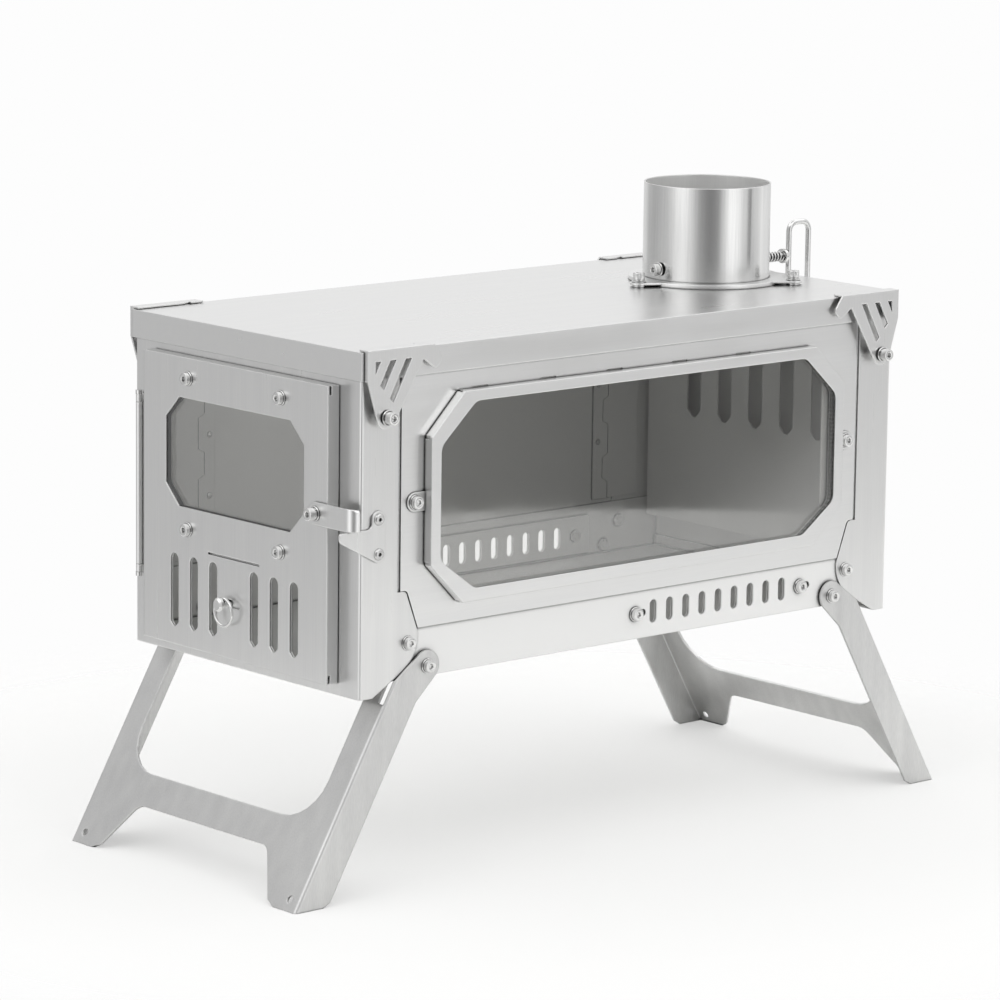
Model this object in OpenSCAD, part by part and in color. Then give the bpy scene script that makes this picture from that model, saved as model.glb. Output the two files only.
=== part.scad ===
// Folding tent wood stove of bare sheet metal.
// Frame: millimetres, +Z up, floor at z = 0, origin under the middle of the body.
// The door end faces -Y, the long side with the big window faces +X.

/* [Body] */
// Length of the lid
lid_l = 410; // [380:1:450]
// Width of the lid
lid_w = 205.6; // [190:0.1:230]
// Height of the rim that hangs from the lid
lid_skirt_h = 15.8; // [10:0.1:22]
// Distance from the underside of the body to the top of the lid
body_h = 192.1; // [180:0.1:215]
// Thickness of the body sheet
sheet_t = 1; // [0.8:0.1:1.2]
// Gap between the lid's rim and the ends of the body
lid_end_gap = 0.3; // [0.2:0.1:0.8]
// Gap between the lid's rim and the sides of the body
lid_side_gap = 0.9; // [0.4:0.1:1.2]
// Outer radius of a sheet bend
bend_r = 1.6; // [1.3:0.1:2.4]

/* [End pans and tray] */
// Depth of the side flange of an end pan
pan_flange = 26.5; // [24:0.1:30]
// Reach of the gusset at the foot of an end pan, from its face
gusset_reach = 41.2; // [39:0.1:44]
// Height above the underside at which the gusset's edge starts to lean
gusset_h = 33.5; // [30:0.1:35]
// Length of the gusset's level upper edge, from the side flange
gusset_step = 6; // [3:0.1:8]
// Height at which the gusset runs out into the side flange
gusset_top_h = 57; // [50:0.1:66]
// Height at which the gusset's lower edge turns upright
gusset_low_h = 18.5; // [14:0.1:22]
// Depth of the flange under an end pan
pan_foot_flange = 8; // [6:0.1:12]
// Height of the tray's floor above the underside of the pans
tray_rise = 7.5; // [5:0.1:10]
// Height of the tray's upturned sides
tray_side_h = 32.5; // [30:0.1:36]
// Height of the tray's end lips
tray_lip_h = 6.5; // [4:0.1:7]
// Height of the seam between tray and side panels, above the tray's floor
seam_h = 27.9; // [26:0.1:29]
// Gap at the upright seams between the pans and the side panels
seam_gap = 2; // [1:0.1:2.6]
// Gap along the leaning edge of a gusset
gusset_gap = 0.8; // [0.4:0.1:1.2]
// Distance of the gusset screw from the end face
gusset_screw_in = 34.1; // [32:0.1:36]
// Height of the gusset screw above the underside
gusset_screw_h = 27.9; // [26:0.1:29]
// Width of a corner hinge leaf beyond the flange
leaf_w = 25; // [23:0.1:27]
// Height of one tooth of the interlocking hinge leaves
tooth_h = 18; // [15:0.1:21]
// Depth of the teeth
tooth_d = 4.4; // [3:0.1:5]

/* [Side window] */
// Distance between the window frame and the ends of the lid
frame_end_gap = 46.2; // [43:0.1:60]
// Distance of the frame's upper edge below the top of the lid
frame_top_down = 26.8; // [24:0.1:34]
// Height of the frame's lower edge above the underside
frame_up = 47.1; // [45:0.1:52]
// Size of the frame's cut corners
frame_cut = 23.5; // [20:0.1:27]
// How far the frame stands out from the side panel
frame_proud = 6.5; // [5.5:0.1:8]
// Width of the frame's border at the sides
frame_side_border = 6.8; // [6:0.1:8]
// Width of the frame's border at the top
frame_top_border = 6.1; // [5.5:0.1:8]
// Width of the frame's border at the bottom
frame_bottom_border = 7.3; // [6:0.1:9]
// Thickness of the window glass
glass_t = 3.2; // [2.5:0.1:4]
// Length of the slits in the panel above the frame
frame_slit_l = 11.8; // [8:0.1:14]
// Distance between the slits
frame_slit_pitch = 50.2; // [44:0.1:54]
// Distance of the two window screws outside the frame
window_screw_out = 7.2; // [6.6:0.1:9]

/* [Door] */
// Distance of the door's upright edges inside the body's sides
door_side_in = 18.4; // [17.5:0.1:22]
// Distance of the door's upper edge below the top of the lid
door_top_down = 20; // [18:0.1:24]
// Height of the door's lower edge above the underside of the pan
door_up = 6.7; // [5:0.1:8]
// Depth of the door from its face to the rim of its flanges
door_d = 8; // [7.8:0.1:9]
// Width of the door's face beside its window
door_win_border = 20.4; // [18.5:0.1:24]
// Height of the window's lower edge above the door's lower edge
door_win_up = 80.1; // [76:0.1:84]
// Distance of the window's upper edge below the door's upper edge
door_win_down = 22.9; // [20:0.1:30]
// Size of the window's cut corners
door_win_cut = 12.3; // [8:0.1:16]
// Distance of the door's screws inside the ends of its window
door_screw_in = 20.5; // [16:0.1:26]
// Distance of the door's screws above and below the window's edges
door_screw_out = 11.8; // [9:0.1:14]
// How far the middle of the screws lies below the middle of the window
door_screw_drop = 0.5; // [0:0.1:1]
// Thickness of the door's glass
door_glass_t = 3; // [2.5:0.1:3.2]

/* [Air slides] */
// Distance of the outermost air slots inside the door's upright edges
slot_edge_in = 28.69; // [26:0.01:33]
// Width of the door's air slots
slot_w = 7.4; // [6:0.1:7.6]
// Height of the door's air slots
slot_h = 42.2; // [36:0.1:44]
// Height of the middle of the slots above the door's lower edge
slot_up = 31.6; // [30:0.1:33]
// Number of slots on each side of the knob
slot_count = 3; // [2:1:3]
// Distance between the side air slots
side_pitch = 12.86; // [12.2:0.01:13.4]
// Width of the side air slots
side_slot_w = 5.4; // [4:0.1:5.8]
// Height of the side air slots
side_slot_h = 13.6; // [10:0.1:15]
// Number of side air slots
side_slot_count = 9; // [5:2:9]
// Height of the side air slots above the tray's floor
side_slot_up = 14.6; // [13.5:0.1:15.5]
// Distance of the middle side slot from the rear face
side_slot_in = 137; // [135:0.1:144]
// Diameter of the pull ring over its wire
ring_d = 17.4; // [15:0.1:19]
// Thickness of the pull ring's wire
ring_wire = 1.8; // [1.4:0.1:2]

/* [Legs] */
// Height of the body's underside above the floor
leg_h = 112; // [100:0.5:120]
// Lean of the splayed legs from upright
leg_tilt = 30; // [28:0.5:31]
// Distance of the leg pivots from the end faces
pivot_end_in = 46.7; // [44:0.1:49]
// Height of the leg pivots above the underside
pivot_up = 13.8; // [13:0.1:14.5]
// Distance of the pivot behind the leg's face
pivot_in = 17.1; // [15:0.1:18]
// Width of a leg's side flange
leg_flange = 20; // [19:0.1:20.4]
// Thickness of the leg sheet
leg_t = 1.5; // [1.2:0.1:1.6]
// Radius of the rounded head round a pivot
leg_head_r = 8.7; // [7:0.1:9.4]
// Gap between the body's side and the leg's flange
leg_side_gap = 0.4; // [0.3:0.1:0.6]
// Width of the leg's uprights beside its window
leg_rail_w = 18.3; // [17:0.1:28]
// Width of a foot at the floor
foot_w = 23.8; // [22:0.1:32]
// Radius of the peg holes in the feet
peg_r = 2.2; // [1.8:0.1:2.6]

/* [Flue] */
// Outer diameter of the flue collar
flue_d = 76; // [70:0.5:80]
// Wall of the flue collar
flue_t = 0.8; // [0.6:0.1:1.2]
// Height of the collar above the lid
flue_h = 59; // [50:0.5:70]
// Distance of the flue's middle from the rear face
flue_end_in = 56.7; // [55:0.1:64]
// Radius of the flange round the collar
flue_flange_r = 46.5; // [43:0.1:48]
// Radius of the circle through the flange's screws
ear_circle_r = 54.5; // [52:0.1:56]
// Height of the damper's shaft above the lid
damper_up = 9.2; // [8.5:0.1:12]
// Radius of the damper's shaft
shaft_r = 2; // [1.5:0.1:2.2]
// Radius of the damper's plate
damper_r = 35.5; // [30:0.1:35.6]
// Length of the handle's loop over its wire
loop_l = 43.5; // [36:0.1:50]
// Width of the handle's loop between its wires
loop_w = 16.5; // [14:0.1:20]
// Thickness of the handle's wire
loop_wire = 3.5; // [3:0.1:4]

/* [Corner clips] */
// How far a clip stands out from the body's side
clip_out = 5.4; // [4.4:0.1:6.4]
// Length of a clip along the lid
clip_l = 46.5; // [42:0.1:50]
// Width of the lip over the lid
clip_lip_w = 7.5; // [6:0.1:9]
// Thickness of the clip sheet
clip_t = 1; // [0.8:0.1:1.2]
// Distance of the clip's screw from the end face
clip_screw_in = 13.4; // [12:0.1:15]
// Distance of the clip's screw below the top of the lid
clip_screw_down = 36.1; // [34:0.1:40]

/* [Latch and door hinge] */
// Half the width of the latch arm
arm_half = 6.35; // [5:0.05:7]
// Thickness of the latch arm
arm_t = 1.5; // [1:0.1:2]
// Distance of the latch screw inside the door's free edge
latch_in = 8.5; // [8:0.1:12]
// Height of the latch screw above the door's lower edge
latch_up = 94.4; // [90:0.1:100]
// How far the catch stands out in front of the end face
catch_out = 15.5; // [14:0.1:18]
// Distance of the catch rivets from the end face
rivet_in = 11.7; // [10:0.1:13]
// Distance between the catch rivets
rivet_pitch = 19.3; // [16:0.1:22]
// Distance of the hinge pin outside the door's edge
pin_out = 10; // [9:0.1:12]
// Distance of the hinge pin in front of the end face
pin_front = 3.9; // [3.6:0.1:4.2]
// Radius of the hinge pin
pin_r = 1.2; // [1:0.1:1.3]
// Distance of the barrel's upper end below the door's upper edge
barrel_down = 31.8; // [20:0.1:40]
// Height of the barrel's lower end above the door's lower edge
barrel_up = 40; // [30:0.1:48]

/* [Screws] */
// Radius of the screw shanks
screw_r = 2; // [1.5:0.1:2.1]
// Radius of the screw heads
head_r = 3.5; // [3:0.1:3.8]
// Height of the screw heads
head_h = 4; // [3:0.1:4.4]
// Radius of the flat washers
washer_r = 4.2; // [4:0.1:4.4]
// Thickness of the flat washers
washer_t = 0.8; // [0.6:0.1:1]
// Height of the nuts
nut_h = 2.4; // [2:0.1:3]

/* [Hidden] */
$fn = 48;

// How far a cut runs past the face that it starts from
over = 1;
// Radial clearance of a screw in a plain hole
hole_gap = 0.15;
// Radial clearance of a shaft that turns in a hole
run_gap = 0.08;
// Flat clearance between parts that slide on each other
slide_gap = 0.3;
// Points on each rounded corner of an outline
corner_steps = 6;

// Main planes of the body
pan_w = lid_w - 2 * (sheet_t + lid_side_gap);
pan_l = lid_l - 2 * (sheet_t + lid_end_gap);
side_x = pan_w / 2;
inner_x = side_x - sheet_t;
strip_x = inner_x - sheet_t;
end_y = pan_l / 2;
end_in = end_y - sheet_t;
flue_y = end_y - flue_end_in;
pivot_y = end_y - pivot_end_in;
side_slot_y = end_y - side_slot_in;
base_z = leg_h;
lid_z = leg_h + body_h;
under_lid = lid_z - sheet_t;
tray_z = base_z + tray_rise;
tray_top = tray_z + sheet_t;
seam_z = tray_z + seam_h;
strip_top = tray_z + tray_side_h;
flange_y = end_y - pan_flange;
gusset_y = end_y - gusset_reach;
gusset_round = 21;
gusset_bend_round = 12;
gusset_top_round = 3;
gusset_top_gap = 0.3;
// Places along the body where a gusset's leaning edge starts, ends and meets the lower seam
gusset_top_y = flange_y - gusset_step;
gusset_lean = (gusset_top_y - gusset_y) / (gusset_top_h - gusset_h);
gusset_seam_y = gusset_y + gusset_lean * (seam_z - base_z - gusset_h);

// Hinge leaves at the four corners
leaf_margin = 3;
leaf_lap = 8.3;
leaf_low = strip_top + leaf_margin;
leaf_high = under_lid - leaf_margin;
leaf_start = end_y - pan_flange + leaf_lap;
leaf_edge = leaf_start - leaf_w;
panel_leaf_w = 8;
tooth_slope = 2.5;
tooth_gap = 0.4;
tooth_count = floor((leaf_high - leaf_low) / (2 * tooth_h));
hinge_rivet_r = 2;
hinge_rivet_h = 0.8;

// Baffle in front of the rear wall
baffle_gap = 12;
baffle_low = 30;
baffle_slot_w = 12;
baffle_slot_pitch = 27;
baffle_slot_h = 58;
baffle_slot_down = 37.1;
baffle_side = 4;
baffle_top_gap = 2;

// Side window
frame_h = body_h - frame_top_down - frame_up;
window_z = base_z + frame_up + frame_h / 2;
frame_x = side_x + frame_proud;
frame_half = lid_l / 2 - frame_end_gap;
window_screw_y = frame_half + window_screw_out;
frame_half_h = frame_h / 2;
frame_slit_w = 0.6;
frame_slit_count = 5;
frame_slit_y = -18.7;
frame_slit_gap = 0.2;
frame_relief = 1.2;
view_half = frame_half - frame_side_border;
view_low = window_z - frame_half_h + frame_bottom_border;
view_high = window_z + frame_half_h - frame_top_border;
view_cut_y = 25;
view_cut_low = 18;
view_cut_high = 23;
view_round = 8;
seat_gap = 1.4;
gasket_t = frame_proud - sheet_t - glass_t;
glass_play = 1.2;
ear_r = 5.4;

// Door and what it carries
door_y = end_y + slide_gap + door_d;
door_low = base_z + door_up;
door_half = side_x - door_side_in;
door_w = 2 * door_half;
door_h = body_h - door_up - door_top_down;
door_win_w = door_w - 2 * door_win_border;
door_screw_w = door_win_w - 2 * door_screw_in;
door_win_h = door_h - door_win_up - door_win_down;
door_screw_h = door_win_h + 2 * door_screw_out;
door_back = door_y - sheet_t;
door_win_z = door_low + door_win_up + door_win_h / 2;
door_screw_z = door_win_z - door_screw_drop;
door_overlap_side = 8.5;
door_overlap_low = 8.3;
door_overlap_top = 6.6;
door_opening_r = 4;
door_glass_margin = 6.9;
retainer_margin = 10;
retainer_top_margin = 17;
slot_z = door_low + slot_up;
slot_chamfer_share = 0.36;
first_slot_share = 1.04;
slot_pitch = (door_half - slot_edge_in) / (slot_count - 1 + first_slot_share);
air_travel = slot_pitch / 2;
knob_x = -air_travel / 2;
slit_l = 46;
slit_w = 1.2;
slit_up = 57.2;
relief_w = 1.5;
relief_l = 5;

// Air slide behind the door and its rails
slide_t = 1;
air_slide_end_in = 16.5;
air_slide_over = 4.6;
air_slide_y = door_back - slide_gap;
rail_end_in = 7.5;
rail_t = 1;
rail_overlap = 3.5;
rail_foot = 2;
knob_neck_l = 6;
knob_head_r = 4;
knob_head_h = 2.5;
ring_mid_r = (ring_d - ring_wire) / 2;
ring_play = 0.1;
ring_out = 3.6;
ring_z = slot_z + screw_r + ring_play + ring_wire / 2 - ring_mid_r;

// Side air slides
side_slot_z = tray_z + side_slot_up;
side_travel = side_pitch / 2;
side_screw_out = 14.3;
side_plate_out = 12;
side_screw_half = side_pitch * (side_slot_count - 1) / 2 + side_screw_out;
side_plate_half = side_screw_half + side_plate_out;
side_plate_low = 2;
side_plate_h = 23.5;
side_head_gap = 0.2;

// Legs, in their own frame: u across, w behind the leg's face, v up the slope
pivot_z = base_z + pivot_up;
pivot_v = (pivot_z + pivot_in * sin(leg_tilt)) / cos(leg_tilt);
foot_y = pivot_y + pivot_in * cos(leg_tilt) + pivot_v * sin(leg_tilt);
leg_x = side_x + leg_side_gap + leg_t;
leg_in = leg_x - leg_t;
leg_stop_gap = 0.3;
leg_top_v = (tray_z - leg_stop_gap) / cos(leg_tilt);
leg_bend_r = 2.2;
neck_drop = 21;
neck_round = 8;
leg_foot_chamfer = 3;
leg_win_low = 50.4;
leg_win_top_gap = 6;
leg_win_round = 25;
leg_win_top_round = 7;
bar_low = 31.4;
foot_top_w = 44.3;
foot_gap_round = 9;
foot_chamfer_w = 4.5;
foot_chamfer_h = 3.2;
leg_notch_w = 4.5;
leg_notch_drop = 5;
peg_side = 9;
peg_v = 7.1;
leg_washer_gap = 0.1;

// Flue and damper
flue_r = flue_d / 2;
flue_in = flue_r - flue_t;
flue_hole_gap = 0.3;
flue_below = 2;
flange_t = 1.2;
flange_lift = 1.5;
ear_out = 5.5;
ear_root = 12;
ear_angles = [-90, 30, 150];
damper_z = lid_z + damper_up;
damper_t = 1.2;
strap_t = 1.2;
strap_l = 8;
strap_share = 0.55;
spring_start = 0.4;
washer_gap = 25.6;
boss_r = 4.4;
boss_l = 4;
boss_gap = 0.05;
loop_round = 5.5;
loop_y = flue_y + flue_r + washer_gap + boss_l + loop_wire / 2 + boss_gap;
shaft_out = 1;
spring_wire = 0.9;
spring_mid_r = 2.7;
spring_turns = 10;
spring_steps = 8;
spring_sides = 6;

// Corner clips, in a frame with y from the lid's corner inwards and z down from the lid
clip_x = side_x + clip_out;
clip_in = clip_x - clip_t;
clip_lip_gap = 0.3;
clip_top = lid_z + clip_lip_gap + clip_t;
clip_edge_gap = 0.2;
clip_end = end_y - clip_edge_gap;
clip_screw_y = end_y - clip_screw_in;
clip_screw_z = lid_z - clip_screw_down;
clip_tip_r = 6.6;
clip_play = 0.9;
clip_back_play = 0.8;
clip_spacer_r = 3.5;
clip_front_w = 2.2;
clip_hole_gap = 0.6;
clip_slot_w = 4.1;
clip_slot_down = 6.4;
clip_slot_first = 8.8;
clip_slot_pitch = 10.85;
clip_slot_l = 8.2;
clip_slot_grow = 7.55;
clip_slot_end = 2.4;
clip_slot_lean_share = 0.54;
clip_slot_margin = 5.1;
tongue_cut_in = 7.4;
tongue_cut_down = 7.6;
tongue_low_out = 1.2;
tongue_low_down = 14;
tongue_out = 6.8;
tongue_down = 9.2;
tongue_low_r = 2.4;
tongue_far_r = 3;
tongue_cut_r = 0.6;
lip_notch_place = 33.5;
lip_notch_l = 4.2;
lip_notch_w = 1.5;

// Latch, catch and hinge
latch_x = door_half - latch_in;
latch_z = door_low + latch_up;
arm_gap = 0.2;
arm_y = door_y + arm_gap;
arm_reach = 26.5;
arm_hook_r = 5.5;
arm_round = 3.5;
catch_t = 1.5;
catch_tab_r = 4.6;
catch_top = latch_z - arm_half - slide_gap;
catch_nose_h = 5;
catch_corner = 1.2;
catch_round = 3.8;
catch_throat = 3.5;
rivet_y = end_y - rivet_in;
rivet_drop = 1.5;
rivet_z = latch_z - rivet_drop;
rivet_head_r = 3.4;
rivet_head_h = 1.5;
rivet_r = 1.6;
rivet_bore_r = 0.9;
rivet_tail_r = 2.5;
rivet_tail_h = 1.6;
pin_x = -door_half - pin_out;
pin_y = end_y + pin_front;
barrel_r = 2;
barrel_low = door_low + barrel_up;
barrel_l = door_h - barrel_up - barrel_down;
lug_h = 4.5;
lug_gap = 0.3;
pin_head_r = 2.2;
pin_head_h = 2.2;

// Sizes of the hexagon socket and the spring washer of a screw
socket_r = 1.7;
socket_d = 2.2;
spring_washer_r = 3.4;
spring_washer_t = 1;
nut_r = 3.9;

// Share of its width that a domed head keeps at its top, and share of its height below the dome
dome_share = 0.7;
rim_share = 0.6;

// A copy of the children on the near side and a mirrored one on the far side
module both_sides() {
    for (s = [0, 1]) mirror([s, 0, 0]) children();
}

// A copy of the children at the front and a mirrored one at the rear
module both_ends() {
    for (s = [0, 1]) mirror([0, s, 0]) children();
}

// A sheet that lies in the YZ plane, from x to x + t
module sheet_yz(x, t) {
    translate([x, 0, 0]) rotate([90, 0, 90]) linear_extrude(t) children();
}

// A sheet that lies in the XZ plane, with its outer face at y = -out and its back at y = -out + t
module sheet_xz(out, t) {
    translate([0, -out + t, 0]) rotate([90, 0, 0]) linear_extrude(t) children();
}

// Unit vector along v
function unit(v) = v / norm(v);

// Arc of radius r that rounds the corner p between its neighbours a and b
function corner_arc(p, a, b, r) =
    let (u = unit(a - p), v = unit(b - p))
    let (half = acos(max(-1, min(1, u * v))) / 2)
    let (c = p + unit(u + v) * r / sin(half))
    let (t0 = p + u * r / tan(half) - c, t1 = p + v * r / tan(half) - c)
    let (a0 = atan2(t0[1], t0[0]), a1 = atan2(t1[1], t1[0]))
    let (turn = (a1 - a0 + 540) % 360 - 180)
    [for (i = [0 : corner_steps]) let (k = a0 + turn * i / corner_steps) c + r * [cos(k), sin(k)]];

// Outline with each corner rounded by its own radius, where 0 leaves it sharp
function rounded(pts, radii) =
    let (n = len(pts))
    [for (i = [0 : n - 1])
        each (radii[i] > 0
            ? corner_arc(pts[i], pts[(i + n - 1) % n], pts[(i + 1) % n], radii[i])
            : [pts[i]])];

// Rectangle with its four corners cut at 45 degrees
function octagon(half_w, half_h, cut) = [
    [-half_w + cut, -half_h], [half_w - cut, -half_h],
    [half_w, -half_h + cut], [half_w, half_h - cut],
    [half_w - cut, half_h], [-half_w + cut, half_h],
    [-half_w, half_h - cut], [-half_w, -half_h + cut]
];

// Cut of an octagon that lies a distance d inside one with this cut
function inner_cut(cut, d) = cut - d * (2 - sqrt(2));

// Point where a line from p touches the circle round c, on one side or the other
function tangent_point(p, c, r, side) =
    let (d = norm(c - p), a = atan2(c[1] - p[1], c[0] - p[0]) + side * asin(r / d))
    p + sqrt(d * d - r * r) * [cos(a), sin(a)];

// Slot with round ends along its first axis
module slot_2d(l, w) {
    square([l - w, w], center = true);
    for (s = [-1, 1]) translate([s * (l - w) / 2, 0]) circle(d = w);
}

// Upright air slot with a round top and a chamfered foot
module air_slot_2d(w, h) {
    c = w * slot_chamfer_share;
    translate([0, h / 2 - w / 2]) circle(d = w);
    polygon([
        [-w / 2, -h / 2 + c], [-w / 2 + c, -h / 2], [w / 2 - c, -h / 2], [w / 2, -h / 2 + c],
        [w / 2, h / 2 - w / 2], [-w / 2, h / 2 - w / 2]
    ]);
}

// Cap screw with washers, its head above z = 0 and its nut below the clamped thickness
module cap_screw(grip) {
    head_z = washer_t + spring_washer_t;
    difference() {
        union() {
            cylinder(r = washer_r, h = washer_t);
            cylinder(r = spring_washer_r, h = head_z);
            translate([0, 0, head_z]) cylinder(r = head_r, h = head_h);
            translate([0, 0, -grip - nut_h]) cylinder(r = screw_r, h = grip + nut_h + over);
            translate([0, 0, -grip - nut_h]) cylinder(r = nut_r, h = nut_h, $fn = 6);
        }
        translate([0, 0, head_z + head_h - socket_d])
            cylinder(r = socket_r, h = socket_d + over, $fn = 6);
    }
}

// Cap screw on the near side, head outwards, seated at x
module side_screw(x, y, z, grip) {
    translate([x, y, z]) rotate([0, 90, 0]) cap_screw(grip);
}

// Cap screw on the door, head towards -Y, seated at y = -out
module door_screw(x, out, z, grip) {
    translate([x, -out, z]) rotate([90, 0, 0]) cap_screw(grip);
}

// Body

// Side outline of an end pan's flange and gusset
module pan_side_2d() {
    toe = -end_in + pan_foot_flange;
    polygon(rounded(
        [
            [-end_y - over, base_z - over], [toe, base_z - over], [toe, base_z],
            [-gusset_y, base_z + gusset_low_h], [-gusset_y, base_z + gusset_h],
            [-gusset_top_y, base_z + gusset_top_h], [-flange_y, base_z + gusset_top_h],
            [-flange_y, lid_z], [-end_y - over, lid_z]
        ],
        [0, 0, 0, gusset_round, gusset_bend_round, gusset_top_round, 0, 0, 0]
    ));
}

// Plan of an end pan: its face and its two side flanges
module pan_section_2d() {
    in_r = bend_r - sheet_t;
    polygon(rounded(
        [
            [-side_x, -gusset_y], [-side_x, -end_y], [side_x, -end_y], [side_x, -gusset_y],
            [inner_x, -gusset_y], [inner_x, -end_in], [-inner_x, -end_in], [-inner_x, -gusset_y]
        ],
        [0, bend_r, bend_r, 0, 0, in_r, in_r, 0]
    ));
}

// Holes in both side flanges of an end pan for the gusset and clip screws
module pan_holes() {
    for (p = [[end_y - gusset_screw_in, base_z + gusset_screw_h], [clip_screw_y, clip_screw_z]])
        translate([0, -p[0], p[1]]) rotate([0, 90, 0])
            cylinder(r = screw_r + hole_gap, h = pan_w + 2 * over, center = true);
}

module end_pan() {
    difference() {
        union() {
            intersection() {
                translate([0, 0, base_z]) linear_extrude(under_lid - base_z) pan_section_2d();
                sheet_yz(-side_x - over, pan_w + 2 * over) pan_side_2d();
            }
            translate([-inner_x, -end_in, base_z])
                cube([2 * inner_x, pan_foot_flange, sheet_t]);
        }
        pan_holes();
    }
}

module front_pan() {
    half = door_half - door_overlap_side;
    low = door_low + door_overlap_low;
    high = door_low + door_h - door_overlap_top;
    r = door_opening_r;
    color("silver") difference() {
        end_pan();
        sheet_xz(end_y + over, sheet_t + 2 * over)
            polygon(rounded([[-half, low], [half, low], [half, high], [-half, high]], [r, r, r, r]));
        for (z = [rivet_z, rivet_z - rivet_pitch])
            translate([inner_x - over, -rivet_y, z]) rotate([0, 90, 0])
                cylinder(r = rivet_r + hole_gap, h = sheet_t + 2 * over);
    }
}

module rear_pan() {
    color("silver") mirror([0, 1, 0]) end_pan();
}

// Centres of the side air slots along the body
side_slot_places = [
    for (i = [0 : side_slot_count - 1]) side_slot_y + (i - (side_slot_count - 1) / 2) * side_pitch
];

module bottom_tray() {
    l = 2 * (end_in - slide_gap);
    color("gainsboro") difference() {
        translate([0, -l / 2, tray_z]) rotate([-90, 0, 0]) mirror([0, 1, 0]) linear_extrude(l) union() {
            translate([-inner_x, 0]) square([2 * inner_x, sheet_t]);
            for (x = [-inner_x, strip_x]) translate([x, 0]) square([sheet_t, tray_side_h]);
        }
        both_sides() tray_side_cuts();
    }
    color("gainsboro") both_ends()
        translate([-strip_x, -l / 2, tray_top]) cube([2 * strip_x, sheet_t, tray_lip_h]);
}

// Slots and screw holes in one side of the tray
module tray_side_cuts() {
    sheet_yz(strip_x - over, sheet_t + 2 * over) {
        for (y = side_slot_places)
            translate([y, side_slot_z]) rotate(90) slot_2d(side_slot_h, side_slot_w);
        for (s = [-1, 1])
            translate([side_slot_y + s * side_screw_half + side_travel / 2, side_slot_z])
                slot_2d(side_travel + 2 * (screw_r + hole_gap), 2 * (screw_r + hole_gap));
        for (s = [-1, 1]) translate([s * pivot_y, pivot_z]) circle(r = screw_r + hole_gap);
        for (s = [-1, 1])
            translate([s * (end_y - gusset_screw_in), base_z + gusset_screw_h])
                circle(r = screw_r + hole_gap);
    }
}

// Outline of a side panel between the end pans
module side_panel_2d() {
    e = flange_y - seam_gap;
    g = gusset_seam_y - gusset_gap;
    t = gusset_top_y - gusset_gap;
    z0 = seam_z;
    z1 = base_z + gusset_top_h + gusset_top_gap;
    r = gusset_top_round;
    polygon(rounded(
        [
            [-g, z0], [g, z0], [t, z1], [e, z1], [e, under_lid],
            [-e, under_lid], [-e, z1], [-t, z1]
        ],
        [0, 0, r, 0, 0, 0, 0, r]
    ));
}

// Opening that is seen through the window frame, grown by d
module view_2d(d) {
    y = view_half + d;
    lo = view_low - d;
    hi = view_high + d;
    r = view_round;
    polygon(rounded(
        [
            [-y + view_cut_y, lo], [y - view_cut_y, lo], [y, lo + view_cut_low],
            [y, hi - view_cut_high], [y - view_cut_y, hi], [-y + view_cut_y, hi],
            [-y, hi - view_cut_high], [-y, lo + view_cut_low]
        ],
        [r, r, r, r, r, r, r, r]
    ));
}

module window_panel() {
    color("silver") sheet_yz(inner_x, sheet_t) difference() {
        side_panel_2d();
        view_2d(seat_gap);
        for (s = [-1, 1]) translate([s * window_screw_y, window_z]) circle(r = screw_r + hole_gap);
        panel_slits_2d();
    }
}

// Slits in the near side panel along the top of the window frame
module panel_slits_2d() {
    for (i = [0 : frame_slit_count - 1])
        translate([
            frame_slit_y + (i - (frame_slit_count - 1) / 2) * frame_slit_pitch,
            window_z + frame_half_h + frame_slit_gap + frame_slit_w / 2
        ]) square([frame_slit_l, frame_slit_w], center = true);
}

module far_panel() {
    color("silver") sheet_yz(-side_x, sheet_t) side_panel_2d();
}

// Edge of the interlocking teeth from bottom to top, shifted by d
function tooth_edge(y, d) = [
    for (i = [0 : tooth_count - 1])
        let (z = leaf_low + (2 * i + 1) * tooth_h)
        each [
            [y + d, z - tooth_h / 2], [y + d, z - tooth_h / 2 + tooth_slope / 2],
            [y + d + tooth_d, z - tooth_h / 2 + tooth_slope + tooth_slope / 2],
            [y + d + tooth_d, z + tooth_h / 2 - tooth_slope / 2],
            [y + d, z + tooth_h / 2 + tooth_slope / 2]
        ]
];

// Leaf on the end pan's flange, for the front near corner
module pan_leaf() {
    edge = tooth_edge(-leaf_edge, 0);
    sheet_yz(strip_x, sheet_t) polygon(concat(
        [[-leaf_start, leaf_high], [-leaf_start, leaf_low], [-leaf_edge, leaf_low]],
        edge,
        [[-leaf_edge, leaf_high]]
    ));
}

// Leaf on the side panel that the pan's leaf interlocks with
module panel_leaf() {
    edge = tooth_edge(-leaf_edge, tooth_gap);
    back = -leaf_edge + tooth_d + panel_leaf_w;
    sheet_yz(strip_x, sheet_t) polygon(concat(
        [[back, leaf_high], [back, leaf_low], [-leaf_edge + tooth_gap, leaf_low]],
        edge,
        [[-leaf_edge + tooth_gap, leaf_high]]
    ));
}

module pan_hinge_leaves() {
    color("darkgray") difference() {
        both_sides() both_ends() pan_leaf();
        for (s = [-1, 1]) translate([strip_x - over, s * window_screw_y, window_z]) rotate([0, 90, 0])
            cylinder(r = screw_r + hole_gap, h = sheet_t + 2 * over);
    }
}

module panel_hinge_leaves() {
    color("darkgray") both_sides() both_ends() panel_leaf();
}

module hinge_rivets() {
    y = leaf_edge - tooth_d - panel_leaf_w / 2;
    color("gray") both_sides() both_ends()
        for (i = [0 : tooth_count - 1])
            translate([strip_x, -y, leaf_low + 2 * (i + 1) * tooth_h]) rotate([0, -90, 0])
                cylinder(r1 = hinge_rivet_r, r2 = hinge_rivet_r * dome_share, h = hinge_rivet_h);
}

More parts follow.
